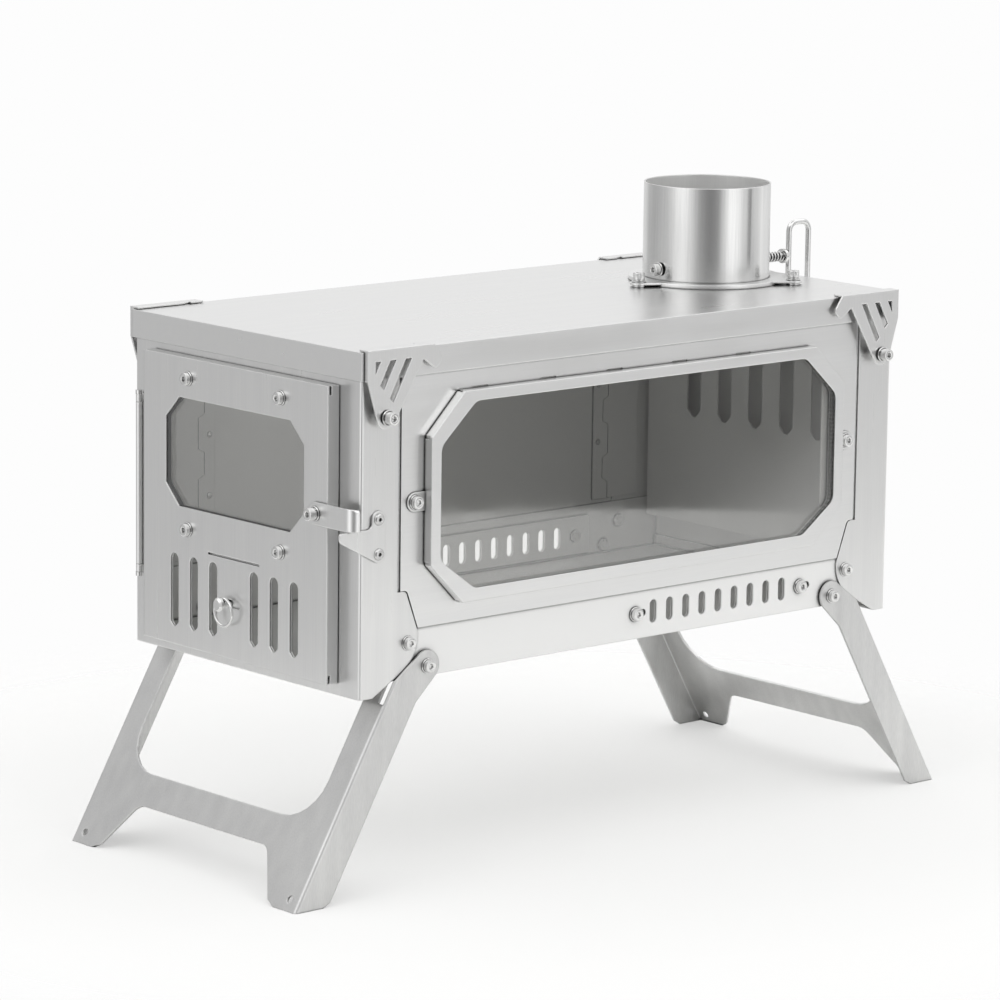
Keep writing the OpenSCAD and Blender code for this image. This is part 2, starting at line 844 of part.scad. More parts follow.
module rear_baffle() {
    half = strip_x - baffle_side;
    y = end_in - baffle_gap;
    low = base_z + baffle_low;
    h = under_lid - baffle_top_gap - low;
    slot_mid = lid_z - baffle_slot_down - baffle_slot_h / 2;
    color("silver") union() {
        sheet_xz(-y, sheet_t) difference() {
            translate([-half, low]) square([2 * half, h]);
            for (i = [-2 : 2])
                translate([i * baffle_slot_pitch, slot_mid]) air_slot_2d(baffle_slot_w, baffle_slot_h);
        }
        both_sides() translate([half - sheet_t, y, low]) cube([sheet_t, baffle_gap, h]);
    }
}

// Side window

module window_frame() {
    inner = octagon(frame_half - sheet_t, frame_half_h - sheet_t, inner_cut(frame_cut, sheet_t));
    color("gainsboro") difference() {
        union() {
            sheet_yz(side_x, frame_proud) translate([0, window_z])
                polygon(octagon(frame_half, frame_half_h, frame_cut));
            for (s = [-1, 1]) window_ear(s);
        }
        sheet_yz(side_x - over, frame_proud - sheet_t + over) translate([0, window_z]) polygon(inner);
        sheet_yz(side_x - over, frame_proud + 2 * over) view_2d(0);
        for (s = [-1, 1]) translate([side_x, s * window_screw_y, window_z]) rotate([0, 90, 0])
            cylinder(r = screw_r + hole_gap, h = 2 * (sheet_t + over), center = true);
        frame_reliefs();
    }
}

// Round ear under one of the two window screws
module window_ear(s) {
    sheet_yz(side_x, sheet_t) union() {
        translate([s * window_screw_y, window_z]) circle(r = ear_r);
        w = window_screw_y - frame_half + sheet_t;
        translate([s > 0 ? window_screw_y - w : -window_screw_y, window_z - ear_r])
            square([w, 2 * ear_r]);
    }
}

// Open corners between the folded edges of the frame
module frame_reliefs() {
    for (p = octagon(frame_half, frame_half_h, frame_cut))
        translate([side_x - over, p[0] - frame_relief / 2, window_z + p[1] - frame_relief])
            cube([frame_proud - 2 * sheet_t + over, frame_relief, 2 * frame_relief]);
}

module window_gasket() {
    color("dimgray") sheet_yz(side_x, gasket_t) difference() {
        translate([0, window_z]) polygon(octagon(
            frame_half - sheet_t - glass_play, frame_half_h - sheet_t - glass_play,
            inner_cut(frame_cut, sheet_t + glass_play)));
        view_2d(seat_gap);
    }
}

module window_glass() {
    color([0.45, 0.47, 0.48, 0.5]) sheet_yz(side_x + gasket_t, glass_t) translate([0, window_z])
        polygon(octagon(
            frame_half - sheet_t - glass_play, frame_half_h - sheet_t - glass_play,
            inner_cut(frame_cut, sheet_t + glass_play)));
}

module window_screws() {
    color("lightgray") for (s = [-1, 1])
        side_screw(side_x + sheet_t, s * window_screw_y, window_z, 3 * sheet_t);
}

module gusset_screws() {
    color("lightgray") both_sides() both_ends()
        side_screw(side_x, -(end_y - gusset_screw_in), base_z + gusset_screw_h, 2 * sheet_t);
}

// Lid and flue

module lid() {
    color("whitesmoke") difference() {
        translate([-lid_w / 2, -lid_l / 2, lid_z - lid_skirt_h]) cube([lid_w, lid_l, lid_skirt_h]);
        translate([-lid_w / 2 + sheet_t, -lid_l / 2 + sheet_t, lid_z - lid_skirt_h - over])
            cube([lid_w - 2 * sheet_t, lid_l - 2 * sheet_t, lid_skirt_h - sheet_t + over]);
        translate([0, flue_y, under_lid - over])
            cylinder(r = flue_r + flue_hole_gap, h = sheet_t + 2 * over);
        at_ears() translate([0, 0, under_lid - over])
            cylinder(r = screw_r + hole_gap, h = sheet_t + 2 * over);
    }
}

// The children at each of the flange's screws
module at_ears() {
    for (a = ear_angles)
        translate([ear_circle_r * cos(a), flue_y + ear_circle_r * sin(a), 0]) children();
}

module flue_flange() {
    plate_z = lid_z + flange_lift;
    color("lightgray") difference() {
        union() {
            translate([0, flue_y, lid_z]) cylinder(r = flue_flange_r, h = flange_lift + flange_t, $fn = 96);
            translate([0, flue_y, plate_z]) linear_extrude(flange_t) union() {
                for (a = ear_angles) rotate(a) {
                    translate([ear_circle_r, 0]) circle(r = ear_out);
                    polygon([
                        [flue_flange_r - ear_out, -ear_root], [ear_circle_r, -ear_out],
                        [ear_circle_r, ear_out], [flue_flange_r - ear_out, ear_root]
                    ]);
                }
            }
        }
        translate([0, flue_y, lid_z - over])
            cylinder(r = flue_flange_r - flange_t, h = flange_lift + over, $fn = 96);
        translate([0, flue_y, lid_z - over])
            cylinder(r = flue_r + run_gap, h = flange_lift + flange_t + 2 * over, $fn = 96);
        at_ears() translate([0, 0, lid_z])
            cylinder(r = screw_r + hole_gap, h = flange_lift + flange_t + over);
    }
}

module flue_collar() {
    color("silver") difference() {
        translate([0, flue_y, lid_z - flue_below])
            cylinder(r = flue_r, h = flue_h + flue_below, $fn = 96);
        translate([0, flue_y, lid_z - flue_below - over])
            cylinder(r = flue_in, h = flue_h + flue_below + 2 * over, $fn = 96);
        translate([0, flue_y, damper_z]) rotate([90, 0, 0])
            cylinder(r = shaft_r + run_gap, h = flue_d + 2 * over, center = true);
    }
}

module flange_spacers() {
    color("gray") at_ears() translate([0, 0, lid_z]) difference() {
        cylinder(r = washer_r, h = flange_lift);
        translate([0, 0, -over]) cylinder(r = screw_r + hole_gap, h = flange_lift + 2 * over);
    }
}

module flange_screws() {
    color("lightgray") at_ears() translate([0, 0, lid_z + flange_lift + flange_t])
        cap_screw(flange_lift + flange_t + sheet_t);
}

// Damper in the flue

// Ends of the shaft's run through the collar and along the spring
shaft_front = flue_y - flue_r - shaft_out;
boss_y = flue_y + flue_r + washer_gap;

// Straight piece of the handle's wire from p to q in the YZ plane
module wire_run(p, q) {
    d = q - p;
    translate([0, p[0], p[1]]) rotate([-atan2(d[0], d[1]), 0, 0])
        cylinder(r = loop_wire / 2, h = norm(d));
}

// Quarter bend of the handle's wire round c, starting at angle a
module wire_bend(c, a) {
    translate([0, c[0], c[1]]) rotate([90, 0, 90]) rotate([0, 0, a])
        rotate_extrude(angle = 90) translate([loop_round, 0]) circle(d = loop_wire);
}

module damper_shaft() {
    y0 = loop_y;
    y1 = loop_y + loop_w;
    half = (loop_l - loop_wire) / 2;
    z0 = damper_z - half;
    z1 = damper_z + half;
    r = loop_round;
    color("lightgray") union() {
        translate([0, shaft_front, damper_z]) rotate([-90, 0, 0])
            cylinder(r = shaft_r, h = loop_y - shaft_front);
        wire_run([y0, z0 + r], [y0, z1 - r]);
        wire_run([y1, z0 + r], [y1, z1 - r]);
        wire_run([y0 + r, z0], [y1 - r, z0]);
        wire_run([y0 + r, z1], [y1 - r, z1]);
        wire_bend([y1 - r, z1 - r], 0);
        wire_bend([y0 + r, z1 - r], 90);
        wire_bend([y0 + r, z0 + r], 180);
        wire_bend([y1 - r, z0 + r], 270);
    }
}

// Disc beside the shaft, held by two straps that wrap it
module damper_plate() {
    x = shaft_r + run_gap;
    color("gray") union() {
        translate([x, flue_y, damper_z]) rotate([0, 90, 0])
            cylinder(r = damper_r, h = damper_t, $fn = 96);
        for (s = [-1, 1]) translate([0, flue_y + s * damper_r * strap_share, damper_z]) damper_strap();
    }
}

module damper_strap() {
    x = shaft_r + run_gap;
    difference() {
        rotate([90, 0, 0]) cylinder(r = x + strap_t, h = strap_l, center = true);
        rotate([90, 0, 0]) cylinder(r = x, h = strap_l + 2 * over, center = true);
        translate([x, -strap_l, -2 * x]) cube([2 * x, 2 * strap_l, 4 * x]);
    }
}

module damper_washer() {
    color("darkgray") translate([0, boss_y, damper_z]) rotate([-90, 0, 0]) difference() {
        union() {
            cylinder(r = boss_r, h = boss_l / 2);
            translate([0, 0, boss_l / 2]) cylinder(r1 = boss_r, r2 = boss_r * dome_share, h = boss_l / 2);
        }
        translate([0, 0, -over]) cylinder(r = shaft_r + run_gap, h = boss_l + 2 * over);
    }
}

module damper_end_screw() {
    color("lightgray") translate([0, shaft_front - run_gap, damper_z]) rotate([90, 0, 0]) difference() {
        union() {
            cylinder(r = washer_r, h = washer_t);
            translate([0, 0, washer_t]) cylinder(r = head_r, h = head_h);
        }
        translate([0, 0, washer_t + head_h - socket_d])
            cylinder(r = socket_r, h = socket_d + over, $fn = 6);
    }
}

// Coil spring on the shaft: its centreline is a helix along +Y
spring_l = washer_gap - 2 * spring_start - spring_wire;
spring_pitch = spring_l / spring_turns;
function spring_centre(k) =
    let (a = 360 * k / spring_steps)
    [spring_mid_r * cos(a), spring_pitch * k / spring_steps, spring_mid_r * sin(a)];

// Ring of points round the spring's wire at step k
function spring_ring(k) =
    let (a = 360 * k / spring_steps, c = spring_centre(k), out = [cos(a), 0, sin(a)])
    [for (j = [0 : spring_sides - 1])
        let (b = 360 * j / spring_sides)
        c + spring_wire / 2 * (cos(b) * out + sin(b) * [0, 1, 0])];

module damper_spring() {
    n = spring_turns * spring_steps;
    m = spring_sides;
    pts = [for (k = [0 : n]) each spring_ring(k)];
    skin = [
        for (k = [0 : n - 1], j = [0 : m - 1])
            let (a = k * m + j, b = k * m + (j + 1) % m)
            each [[a, a + m, b], [b, a + m, b + m]]
    ];
    caps = [
        for (j = [1 : m - 2]) each [[0, j, j + 1], [n * m, n * m + j + 1, n * m + j]]
    ];
    gaps = [for (k = [0 : n - spring_steps], d = [spring_steps / 2 : spring_steps])
        if (k + d <= n) norm(spring_centre(k + d) - spring_centre(k)) - spring_wire];
    echo(least_spring_gap = min(gaps));
    color("silver") translate([0, flue_y + flue_r + spring_start + spring_wire / 2, damper_z])
        polyhedron(points = pts, faces = concat(skin, caps));
}

// Legs

// Side outline of a leg, its first axis behind the face and its second up the slope
module leg_side_2d() {
    c = [pivot_in, pivot_v];
    neck = [leg_flange, pivot_v - neck_drop];
    shoulder = [0, leg_top_v];
    rise = tan(leg_tilt);
    flat = leg_flange - leg_foot_chamfer;
    union() {
        polygon(rounded(
            [
                [0, 0], [flat, flat * rise], [leg_flange, leg_flange * rise + leg_foot_chamfer],
                neck, tangent_point(neck, c, leg_head_r, -1), c,
                tangent_point(shoulder, c, leg_head_r, 1), shoulder
            ],
            [0, 0, 0, neck_round, 0, 0, 0, 0]
        ));
        translate(c) circle(r = leg_head_r);
    }
}

// Plan of a leg: its face and its two side flanges
module leg_section_2d() {
    in_r = leg_bend_r - leg_t;
    deep = leg_flange + 2 * leg_head_r;
    polygon(rounded(
        [
            [-leg_x, deep], [-leg_x, 0], [leg_x, 0], [leg_x, deep],
            [leg_in, deep], [leg_in, leg_t], [-leg_in, leg_t], [-leg_in, deep]
        ],
        [0, leg_bend_r, leg_bend_r, 0, 0, in_r, in_r, 0]
    ));
}

// Window of a leg and the gap between its feet
module leg_face_cuts_2d() {
    win = leg_x - leg_rail_w;
    top = leg_top_v - leg_win_top_gap;
    gap = leg_x - foot_w;
    gap_top = leg_x - foot_top_w;
    r = leg_win_round;
    rt = leg_win_top_round;
    polygon(rounded(
        [[-win, leg_win_low], [win, leg_win_low], [win, top], [-win, top]],
        [r, r, rt, rt]
    ));
    polygon(rounded(
        [
            [-gap - foot_chamfer_w, -over], [gap + foot_chamfer_w, -over],
            [gap + foot_chamfer_w, 0], [gap - foot_chamfer_w / 2, foot_chamfer_h],
            [gap_top, bar_low], [-gap_top, bar_low],
            [-gap + foot_chamfer_w / 2, foot_chamfer_h], [-gap - foot_chamfer_w, 0]
        ],
        [0, 0, 0, 0, foot_gap_round, foot_gap_round, 0, 0]
    ));
    for (s = [-1, 1]) translate([s * (leg_x - peg_side), peg_v]) circle(r = peg_r);
}

module leg() {
    span = pivot_v + leg_head_r + over;
    notch_v = base_z / cos(leg_tilt) - leg_notch_drop;
    translate([0, -foot_y, 0]) rotate([-leg_tilt, 0, 0]) difference() {
        intersection() {
            translate([0, 0, -over]) linear_extrude(span + over) leg_section_2d();
            sheet_yz(-leg_x - over, 2 * (leg_x + over)) leg_side_2d();
        }
        translate([0, leg_t + over, 0]) rotate([90, 0, 0]) linear_extrude(leg_t + 2 * over)
            leg_face_cuts_2d();
        translate([-leg_in, -over, leg_top_v])
            cube([2 * leg_in, leg_flange + 2 * leg_head_r, span]);
        both_sides() translate([leg_in - leg_notch_w, -over, notch_v])
            cube([leg_notch_w, 2 * leg_t + over, span]);
        translate([0, pivot_in, pivot_v]) rotate([0, 90, 0])
            cylinder(r = screw_r + run_gap, h = 2 * (leg_x + over), center = true);
    }
}

module front_leg() {
    color("silver") leg();
}

module rear_leg() {
    color("silver") mirror([0, 1, 0]) leg();
}

module leg_spacers() {
    h = leg_in - inner_x - leg_washer_gap;
    color("gray") both_sides() both_ends()
        translate([inner_x, -pivot_y, pivot_z]) rotate([0, 90, 0]) difference() {
            cylinder(r = washer_r, h = h);
            translate([0, 0, -over]) cylinder(r = screw_r + hole_gap, h = h + 2 * over);
        }
}

module leg_pivot_screws() {
    seat = leg_x + leg_washer_gap;
    color("lightgray") both_sides() both_ends()
        side_screw(seat, -pivot_y, pivot_z, seat - strip_x);
}

// Corner clips

// Outline of the front near clip: its plate with the tongue and the tip round its screw
module clip_2d() {
    y0 = -clip_end;
    y1 = -clip_end + clip_l;
    zt = clip_top;
    tip = [-clip_screw_y, clip_screw_z];
    root = [y1 - tongue_cut_in, zt - tongue_cut_down];
    knee = [y0, lid_z - lid_skirt_h];
    inner = tangent_point(root, tip, clip_tip_r, 1);
    outer = tangent_point(knee, tip, clip_tip_r, -1);
    union() {
        polygon(rounded(
            [
                [y0, zt], knee, outer, tip, inner, root,
                [y1 + tongue_low_out, zt - tongue_low_down], [y1 + tongue_out, zt - tongue_down], [y1, zt]
            ],
            [0, 0, 0, 0, 0, tongue_cut_r, tongue_low_r, tongue_far_r, 0]
        ));
        translate(tip) circle(r = clip_tip_r);
    }
}

// Three slanted slots of growing length, cut off upright near the clip's outer edge
module clip_slots_2d() {
    w = clip_slot_w;
    lean = clip_slot_lean_share;
    z = clip_top - clip_slot_down;
    deep = clip_slot_l + 2 * clip_slot_grow + over;
    intersection() {
        for (i = [0 : 2]) {
            y = -clip_end + clip_slot_first + i * clip_slot_pitch;
            l = clip_slot_l + i * clip_slot_grow;
            polygon([
                [y, z], [y - w, z],
                [y - w - lean * (l - clip_slot_end), z - l + clip_slot_end], [y - lean * l, z - l]
            ]);
        }
        translate([-clip_end + clip_slot_margin, z - deep]) square([clip_l, deep]);
    }
}

// The front near clip, resting on the lid
module clip() {
    lip_y = -clip_end;
    difference() {
        union() {
            sheet_yz(clip_in, clip_t) difference() {
                clip_2d();
                clip_slots_2d();
                translate([-clip_screw_y, clip_screw_z]) circle(r = screw_r + clip_hole_gap);
            }
            translate([clip_x - clip_lip_w, lip_y, clip_top - clip_t])
                cube([clip_lip_w, clip_l, clip_t]);
            translate([clip_in - clip_front_w, lip_y, lid_z - lid_skirt_h])
                cube([clip_front_w + clip_t, clip_t, clip_top - lid_z + lid_skirt_h]);
        }
        translate([clip_x - clip_lip_w - over, lip_y + lip_notch_place, clip_top - clip_t - over])
            cube([over + lip_notch_w, lip_notch_l, clip_t + 2 * over]);
    }
}

module clip_front_near() {
    color("silver") clip();
}

module clip_front_far() {
    color("silver") mirror([1, 0, 0]) clip();
}

module clip_rear_near() {
    color("silver") mirror([0, 1, 0]) clip();
}

module clip_rear_far() {
    color("silver") mirror([1, 0, 0]) mirror([0, 1, 0]) clip();
}

module clip_spacers() {
    h = clip_in - side_x - clip_back_play;
    color("gray") both_sides() both_ends()
        translate([side_x, -clip_screw_y, clip_screw_z]) rotate([0, 90, 0]) difference() {
            cylinder(r = clip_spacer_r, h = h);
            translate([0, 0, -over]) cylinder(r = screw_r + hole_gap, h = h + 2 * over);
        }
}

module clip_screws() {
    seat = clip_x + clip_play;
    color("lightgray") both_sides() both_ends()
        side_screw(seat, -clip_screw_y, clip_screw_z, seat - inner_x);
}

// Door

// Centres of the door's air slots
door_slot_places = [
    for (s = [-1, 1], i = [0 : slot_count - 1]) s * slot_pitch * (i + first_slot_share)
];

module door_pan() {
    depth = door_d;
    color("silver") difference() {
        union() {
            translate([-door_half, -door_y, door_low]) cube([door_w, depth, door_h]);
            hinge_leaf();
        }
        translate([-door_half + sheet_t, -door_back, door_low + sheet_t])
            cube([door_w - 2 * sheet_t, depth, door_h - 2 * sheet_t]);
        sheet_xz(door_y + over, sheet_t + 2 * over) door_face_cuts_2d();
        for (s = [-1, 1], z = [door_low - over, door_low + door_h - relief_l])
            translate([s * (door_half - sheet_t / 2) - relief_w / 2 - sheet_t / 2, -door_back, z])
                cube([relief_w + sheet_t, relief_w, relief_l + over]);
    }
}

// Openings in the door's face
module door_face_cuts_2d() {
    translate([0, door_win_z]) polygon(octagon(door_win_w / 2, door_win_h / 2, door_win_cut));
    for (x = door_slot_places) translate([x, slot_z]) air_slot_2d(slot_w, slot_h);
    translate([0, door_low + slit_up]) square([slit_l, slit_w], center = true);
    translate([0, slot_z])
        slot_2d(air_travel + 2 * (screw_r + hole_gap), 2 * (screw_r + hole_gap));
    translate([latch_x, latch_z]) circle(r = screw_r + hole_gap);
    door_screw_places() circle(r = screw_r + hole_gap);
}

// The children at each of the door's four screws
module door_screw_places() {
    for (sx = [-1, 1], sz = [-1, 1])
        translate([sx * door_screw_w / 2, door_screw_z + sz * door_screw_h / 2]) children();
}

// Strip from the door's edge that is rolled into the hinge barrel
module hinge_leaf() {
    translate([0, 0, barrel_low]) difference() {
        union() {
            translate([pin_x, -pin_y, 0]) cylinder(r = barrel_r, h = barrel_l);
            translate([pin_x, -pin_y + barrel_r - sheet_t, 0])
                cube([pin_out + sheet_t, sheet_t, barrel_l]);
        }
        translate([pin_x, -pin_y, -over]) cylinder(r = pin_r + run_gap, h = barrel_l + 2 * over);
    }
}

module door_glass() {
    half = door_win_w / 2 + door_glass_margin;
    half_h = door_win_h / 2 + door_glass_margin;
    color([0.45, 0.47, 0.48, 0.5]) sheet_xz(door_back, door_glass_t)
        translate([-half, door_win_z - half_h]) square([2 * half, 2 * half_h]);
}

module door_retainer() {
    half = door_win_w / 2 + retainer_margin;
    half_h = door_win_h / 2 + retainer_top_margin;
    color("darkgray") sheet_xz(door_back - door_glass_t, sheet_t) difference() {
        translate([-half, door_win_z - half_h]) square([2 * half, 2 * half_h]);
        translate([0, door_win_z]) polygon(octagon(door_win_w / 2, door_win_h / 2, door_win_cut));
        door_screw_places() circle(r = screw_r + hole_gap);
    }
}

module door_screws() {
    color("lightgray")
        for (sx = [-1, 1], sz = [-1, 1])
            door_screw(
                sx * door_screw_w / 2, door_y,
                door_screw_z + sz * door_screw_h / 2,
                2 * sheet_t + door_glass_t
            );
}

// Width and half the height of the air slide behind the door, and the length of its rails
air_slide_w = door_w - 2 * air_slide_end_in;
air_slide_half = slot_h / 2 + air_slide_over;
rail_l = door_w - 2 * rail_end_in;

// Section of one rail: a foot on the door's back and a lip over the slide's edge
module rail_2d() {
    foot = slide_t + 2 * slide_gap + rail_t;
    translate([0, slide_gap]) square([foot, rail_foot]);
    translate([foot - rail_t, -rail_overlap]) square([rail_t, rail_overlap + slide_gap + rail_foot]);
}

module slide_rails() {
    color("darkgray") for (s = [0, 1])
        translate([-rail_l / 2, -door_back, slot_z]) mirror([0, 0, s])
            translate([0, 0, air_slide_half]) rotate([90, 0, 90]) linear_extrude(rail_l) rail_2d();
}

module latch_screw() {
    seat = arm_y + arm_t + arm_gap / 2;
    color("lightgray") door_screw(latch_x, seat, latch_z, seat - door_back);
}

// Air slide behind the door

module door_air_slide() {
    color("gainsboro") sheet_xz(air_slide_y, slide_t) difference() {
        translate([-air_slide_w / 2, slot_z - air_slide_half])
            square([air_slide_w, 2 * air_slide_half]);
        for (x = door_slot_places) translate([x, slot_z]) air_slot_2d(slot_w, slot_h);
        translate([knob_x, slot_z]) circle(r = screw_r + hole_gap);
    }
}

module air_knob() {
    neck = air_slide_y - slide_t;
    tip = door_y + knob_neck_l;
    color("lightgray") translate([knob_x, 0, slot_z]) rotate([90, 0, 0]) union() {
        translate([0, 0, neck - nut_h]) cylinder(r = nut_r, h = nut_h, $fn = 6);
        translate([0, 0, neck - nut_h]) cylinder(r = screw_r, h = tip - neck + nut_h + over);
        translate([0, 0, tip]) cylinder(r = knob_head_r, h = rim_share * knob_head_h);
        translate([0, 0, tip + rim_share * knob_head_h])
            cylinder(r1 = knob_head_r, r2 = dome_share * knob_head_r, h = (1 - rim_share) * knob_head_h);
    }
}

module pull_ring() {
    color("lightgray") translate([knob_x, -door_y - ring_out, ring_z]) rotate([90, 0, 0])
        rotate_extrude($fn = 64) translate([ring_mid_r, 0]) circle(d = ring_wire, $fn = 24);
}

// Latch

module latch_arm() {
    r = arm_hook_r;
    back = arm_reach;
    color("lightgray") translate([latch_x, -arm_y, latch_z]) difference() {
        intersection() {
            translate([0, 0, -arm_half]) linear_extrude(2 * arm_half) union() {
                translate([-arm_half, -arm_t]) square([back + arm_half, arm_t]);
                translate([back, r - arm_t]) difference() {
                    circle(r = r);
                    circle(r = r - arm_t);
                    translate([-2 * r, -2 * r]) square([2 * r, 4 * r]);
                    translate([-2 * r, 0]) square([4 * r, 2 * r]);
                }
            }
            translate([0, over, 0]) rotate([90, 0, 0]) translate([0, 0, -r]) linear_extrude(3 * r) union() {
                circle(r = arm_half);
                polygon(rounded(
                    [
                        [0, -arm_half], [back + r + over, -arm_half],
                        [back + r, arm_half], [0, arm_half]
                    ],
                    [0, 0, arm_round, 0]
                ));
            }
        }
        rotate([90, 0, 0]) cylinder(r = screw_r + run_gap, h = 4 * arm_t, center = true);
    }
}

module latch_catch() {
    top = catch_top;
    nose = -end_y - catch_out;
    low = rivet_z - rivet_pitch;
    nose_low = [nose, top - catch_nose_h];
    lower = [-rivet_y, low];
    color("gainsboro") sheet_yz(side_x, catch_t) difference() {
        union() {
            polygon(rounded(
                [
                    [nose, top], nose_low, tangent_point(nose_low, lower, catch_tab_r, -1), lower,
                    [-rivet_y + catch_tab_r, low], [-rivet_y + catch_tab_r, rivet_z],
                    [-rivet_y - catch_tab_r, rivet_z], [-rivet_y - catch_tab_r, top]
                ],
                [catch_corner, catch_round, 0, 0, 0, 0, 0, catch_throat]
            ));
            for (z = [low, rivet_z]) translate([-rivet_y, z]) circle(r = catch_tab_r);
        }
        for (z = [low, rivet_z]) translate([-rivet_y, z]) circle(r = rivet_r + hole_gap);
    }
}

module catch_rivets() {
    grip = catch_t + sheet_t;
    color("whitesmoke") for (z = [rivet_z, rivet_z - rivet_pitch])
        translate([side_x + catch_t, -rivet_y, z]) rotate([0, 90, 0]) difference() {
            union() {
                cylinder(r1 = rivet_head_r, r2 = dome_share * rivet_head_r, h = rivet_head_h);
                translate([0, 0, -grip - rivet_tail_h])
                    cylinder(r = rivet_r, h = grip + rivet_tail_h + rivet_head_h / 2);
                translate([0, 0, -grip - rivet_tail_h]) cylinder(r = rivet_tail_r, h = rivet_tail_h);
            }
            translate([0, 0, -grip / 2]) cylinder(r = rivet_bore_r, h = grip + rivet_head_h);
        }
}

// Door hinge

// Place of the lower end of the upper lug and the upper end of the lower lug
lug_places = [barrel_low - lug_gap - lug_h, barrel_low + barrel_l + lug_gap];

module hinge_lugs() {
    color("silver") for (z = lug_places) translate([pin_x, -pin_y, z]) difference() {
        union() {
            cylinder(r = barrel_r, h = lug_h);
            translate([-barrel_r, 0, 0]) cube([2 * barrel_r, pin_front, lug_h]);
        }
        translate([0, 0, -over]) cylinder(r = pin_r + run_gap, h = lug_h + 2 * over);
    }
}

module hinge_pin() {
    low = lug_places[0];
    high = lug_places[1] + lug_h;
    color("whitesmoke") translate([pin_x, -pin_y, 0]) union() {
        translate([0, 0, low - over]) cylinder(r = pin_r, h = high - low + 2 * over);
        translate([0, 0, low - pin_head_h]) cylinder(r = pin_head_r, h = pin_head_h);
        translate([0, 0, high]) cylinder(r = pin_head_r, h = pin_head_h);
    }
}

// Side air slides

// Slide behind the near side of the tray
module side_air_slide() {
    low = tray_top + side_plate_low;
    sheet_yz(strip_x - slide_gap - slide_t, slide_t) difference() {
        translate([side_slot_y - side_plate_half, low])
            square([2 * side_plate_half, side_plate_h]);
        for (y = side_slot_places)
            translate([y, side_slot_z]) rotate(90) slot_2d(side_slot_h, side_slot_w);
        for (s = [-1, 1]) translate([side_slot_y + s * side_screw_half, side_slot_z])
            circle(r = screw_r + hole_gap);
    }
}

module side_slide_screws() {
    seat = inner_x + side_head_gap;
    for (s = [-1, 1])
        side_screw(
            seat, side_slot_y + s * side_screw_half, side_slot_z,
            seat - strip_x + slide_gap + slide_t
        );
}

module near_air_slide() {
    color("gainsboro") side_air_slide();
}

module near_slide_screws() {
    color("lightgray") side_slide_screws();
}

module far_air_slide() {
    color("gainsboro") mirror([1, 0, 0]) side_air_slide();
}

module far_slide_screws() {
    color("lightgray") mirror([1, 0, 0]) side_slide_screws();
}

bottom_tray();
front_pan();
rear_pan();
window_panel();
far_panel();
pan_hinge_leaves();
panel_hinge_leaves();
hinge_rivets();
rear_baffle();
window_frame();
window_gasket();
window_glass();
window_screws();
gusset_screws();
lid();
flue_flange();
flue_collar();
flange_spacers();
flange_screws();
leg_spacers();
leg_pivot_screws();
clip_spacers();
clip_screws();
hinge_lugs();
hinge_pin();
latch_catch();
catch_rivets();
door_pan();
door_glass();
door_retainer();
door_screws();
slide_rails();
latch_screw();
door_air_slide();
air_knob();
pull_ring();
latch_arm();
near_air_slide();
near_slide_screws();
far_air_slide();
far_slide_screws();
front_leg();
rear_leg();
damper_shaft();
damper_plate();
damper_washer();
damper_spring();
damper_end_screw();
clip_front_near();
clip_front_far();
clip_rear_near();
clip_rear_far();
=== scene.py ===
"""Looks of a folding tent wood stove: sheet finishes, glass, detailed fasteners, studio and camera."""

import math

import bpy
import numpy as np
from mathutils import Matrix


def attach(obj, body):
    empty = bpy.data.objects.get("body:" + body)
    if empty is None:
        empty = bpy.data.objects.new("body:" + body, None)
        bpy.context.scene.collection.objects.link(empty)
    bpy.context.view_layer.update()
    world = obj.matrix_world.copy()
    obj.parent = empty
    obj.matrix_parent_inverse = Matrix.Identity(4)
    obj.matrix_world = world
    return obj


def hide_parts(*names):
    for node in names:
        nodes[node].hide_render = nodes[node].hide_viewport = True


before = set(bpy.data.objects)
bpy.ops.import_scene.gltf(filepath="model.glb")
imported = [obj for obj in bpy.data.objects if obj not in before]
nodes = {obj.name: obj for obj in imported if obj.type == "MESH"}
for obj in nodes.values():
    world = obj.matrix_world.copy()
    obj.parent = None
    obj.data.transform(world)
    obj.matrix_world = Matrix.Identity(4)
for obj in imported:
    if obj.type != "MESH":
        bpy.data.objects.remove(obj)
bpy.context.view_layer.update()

MM = 0.001

# Camera, fitted to the photograph: angles in degrees, place in millimetres, focal length in pixels

CAMERA_AZIMUTH = 48.72
CAMERA_ELEVATION = 10.44
CAMERA_ROLL = 0.73
CAMERA_EYE = (2083.2, -1843.8, 698.3)
FOCAL_PIXELS = 4835.79
PICTURE_PIXELS = 1000
SENSOR_WIDTH = 36.0
CAMERA_REACH = 50000.0


def camera_axes():
    """Right, up and back directions of the camera from its azimuth, elevation and roll."""
    az, el, roll = (math.radians(a) for a in (CAMERA_AZIMUTH, CAMERA_ELEVATION, CAMERA_ROLL))
    back = np.array([math.sin(az) * math.cos(el), -math.cos(az) * math.cos(el), math.sin(el)])
    right = np.array([math.cos(az), math.sin(az), 0.0])
    up = np.cross(back, right)
    return (
        math.cos(roll) * right + math.sin(roll) * up,
        -math.sin(roll) * right + math.cos(roll) * up,
        back,
    )


def set_camera():
    """The photograph's camera: its place, its three axes and its long lens."""
    lens = bpy.data.cameras.new("photo_camera")
    lens.sensor_width = SENSOR_WIDTH
    lens.lens = FOCAL_PIXELS / PICTURE_PIXELS * SENSOR_WIDTH
    lens.clip_end = CAMERA_REACH * MM
    camera = bpy.data.objects.new("photo_camera", lens)
    matrix = np.eye(4)
    matrix[:3, :3] = np.stack(camera_axes(), 1)
    matrix[:3, 3] = np.array(CAMERA_EYE) * MM
    camera.matrix_world = Matrix(matrix.tolist())
    bpy.context.scene.collection.objects.link(camera)
    bpy.context.scene.camera = camera


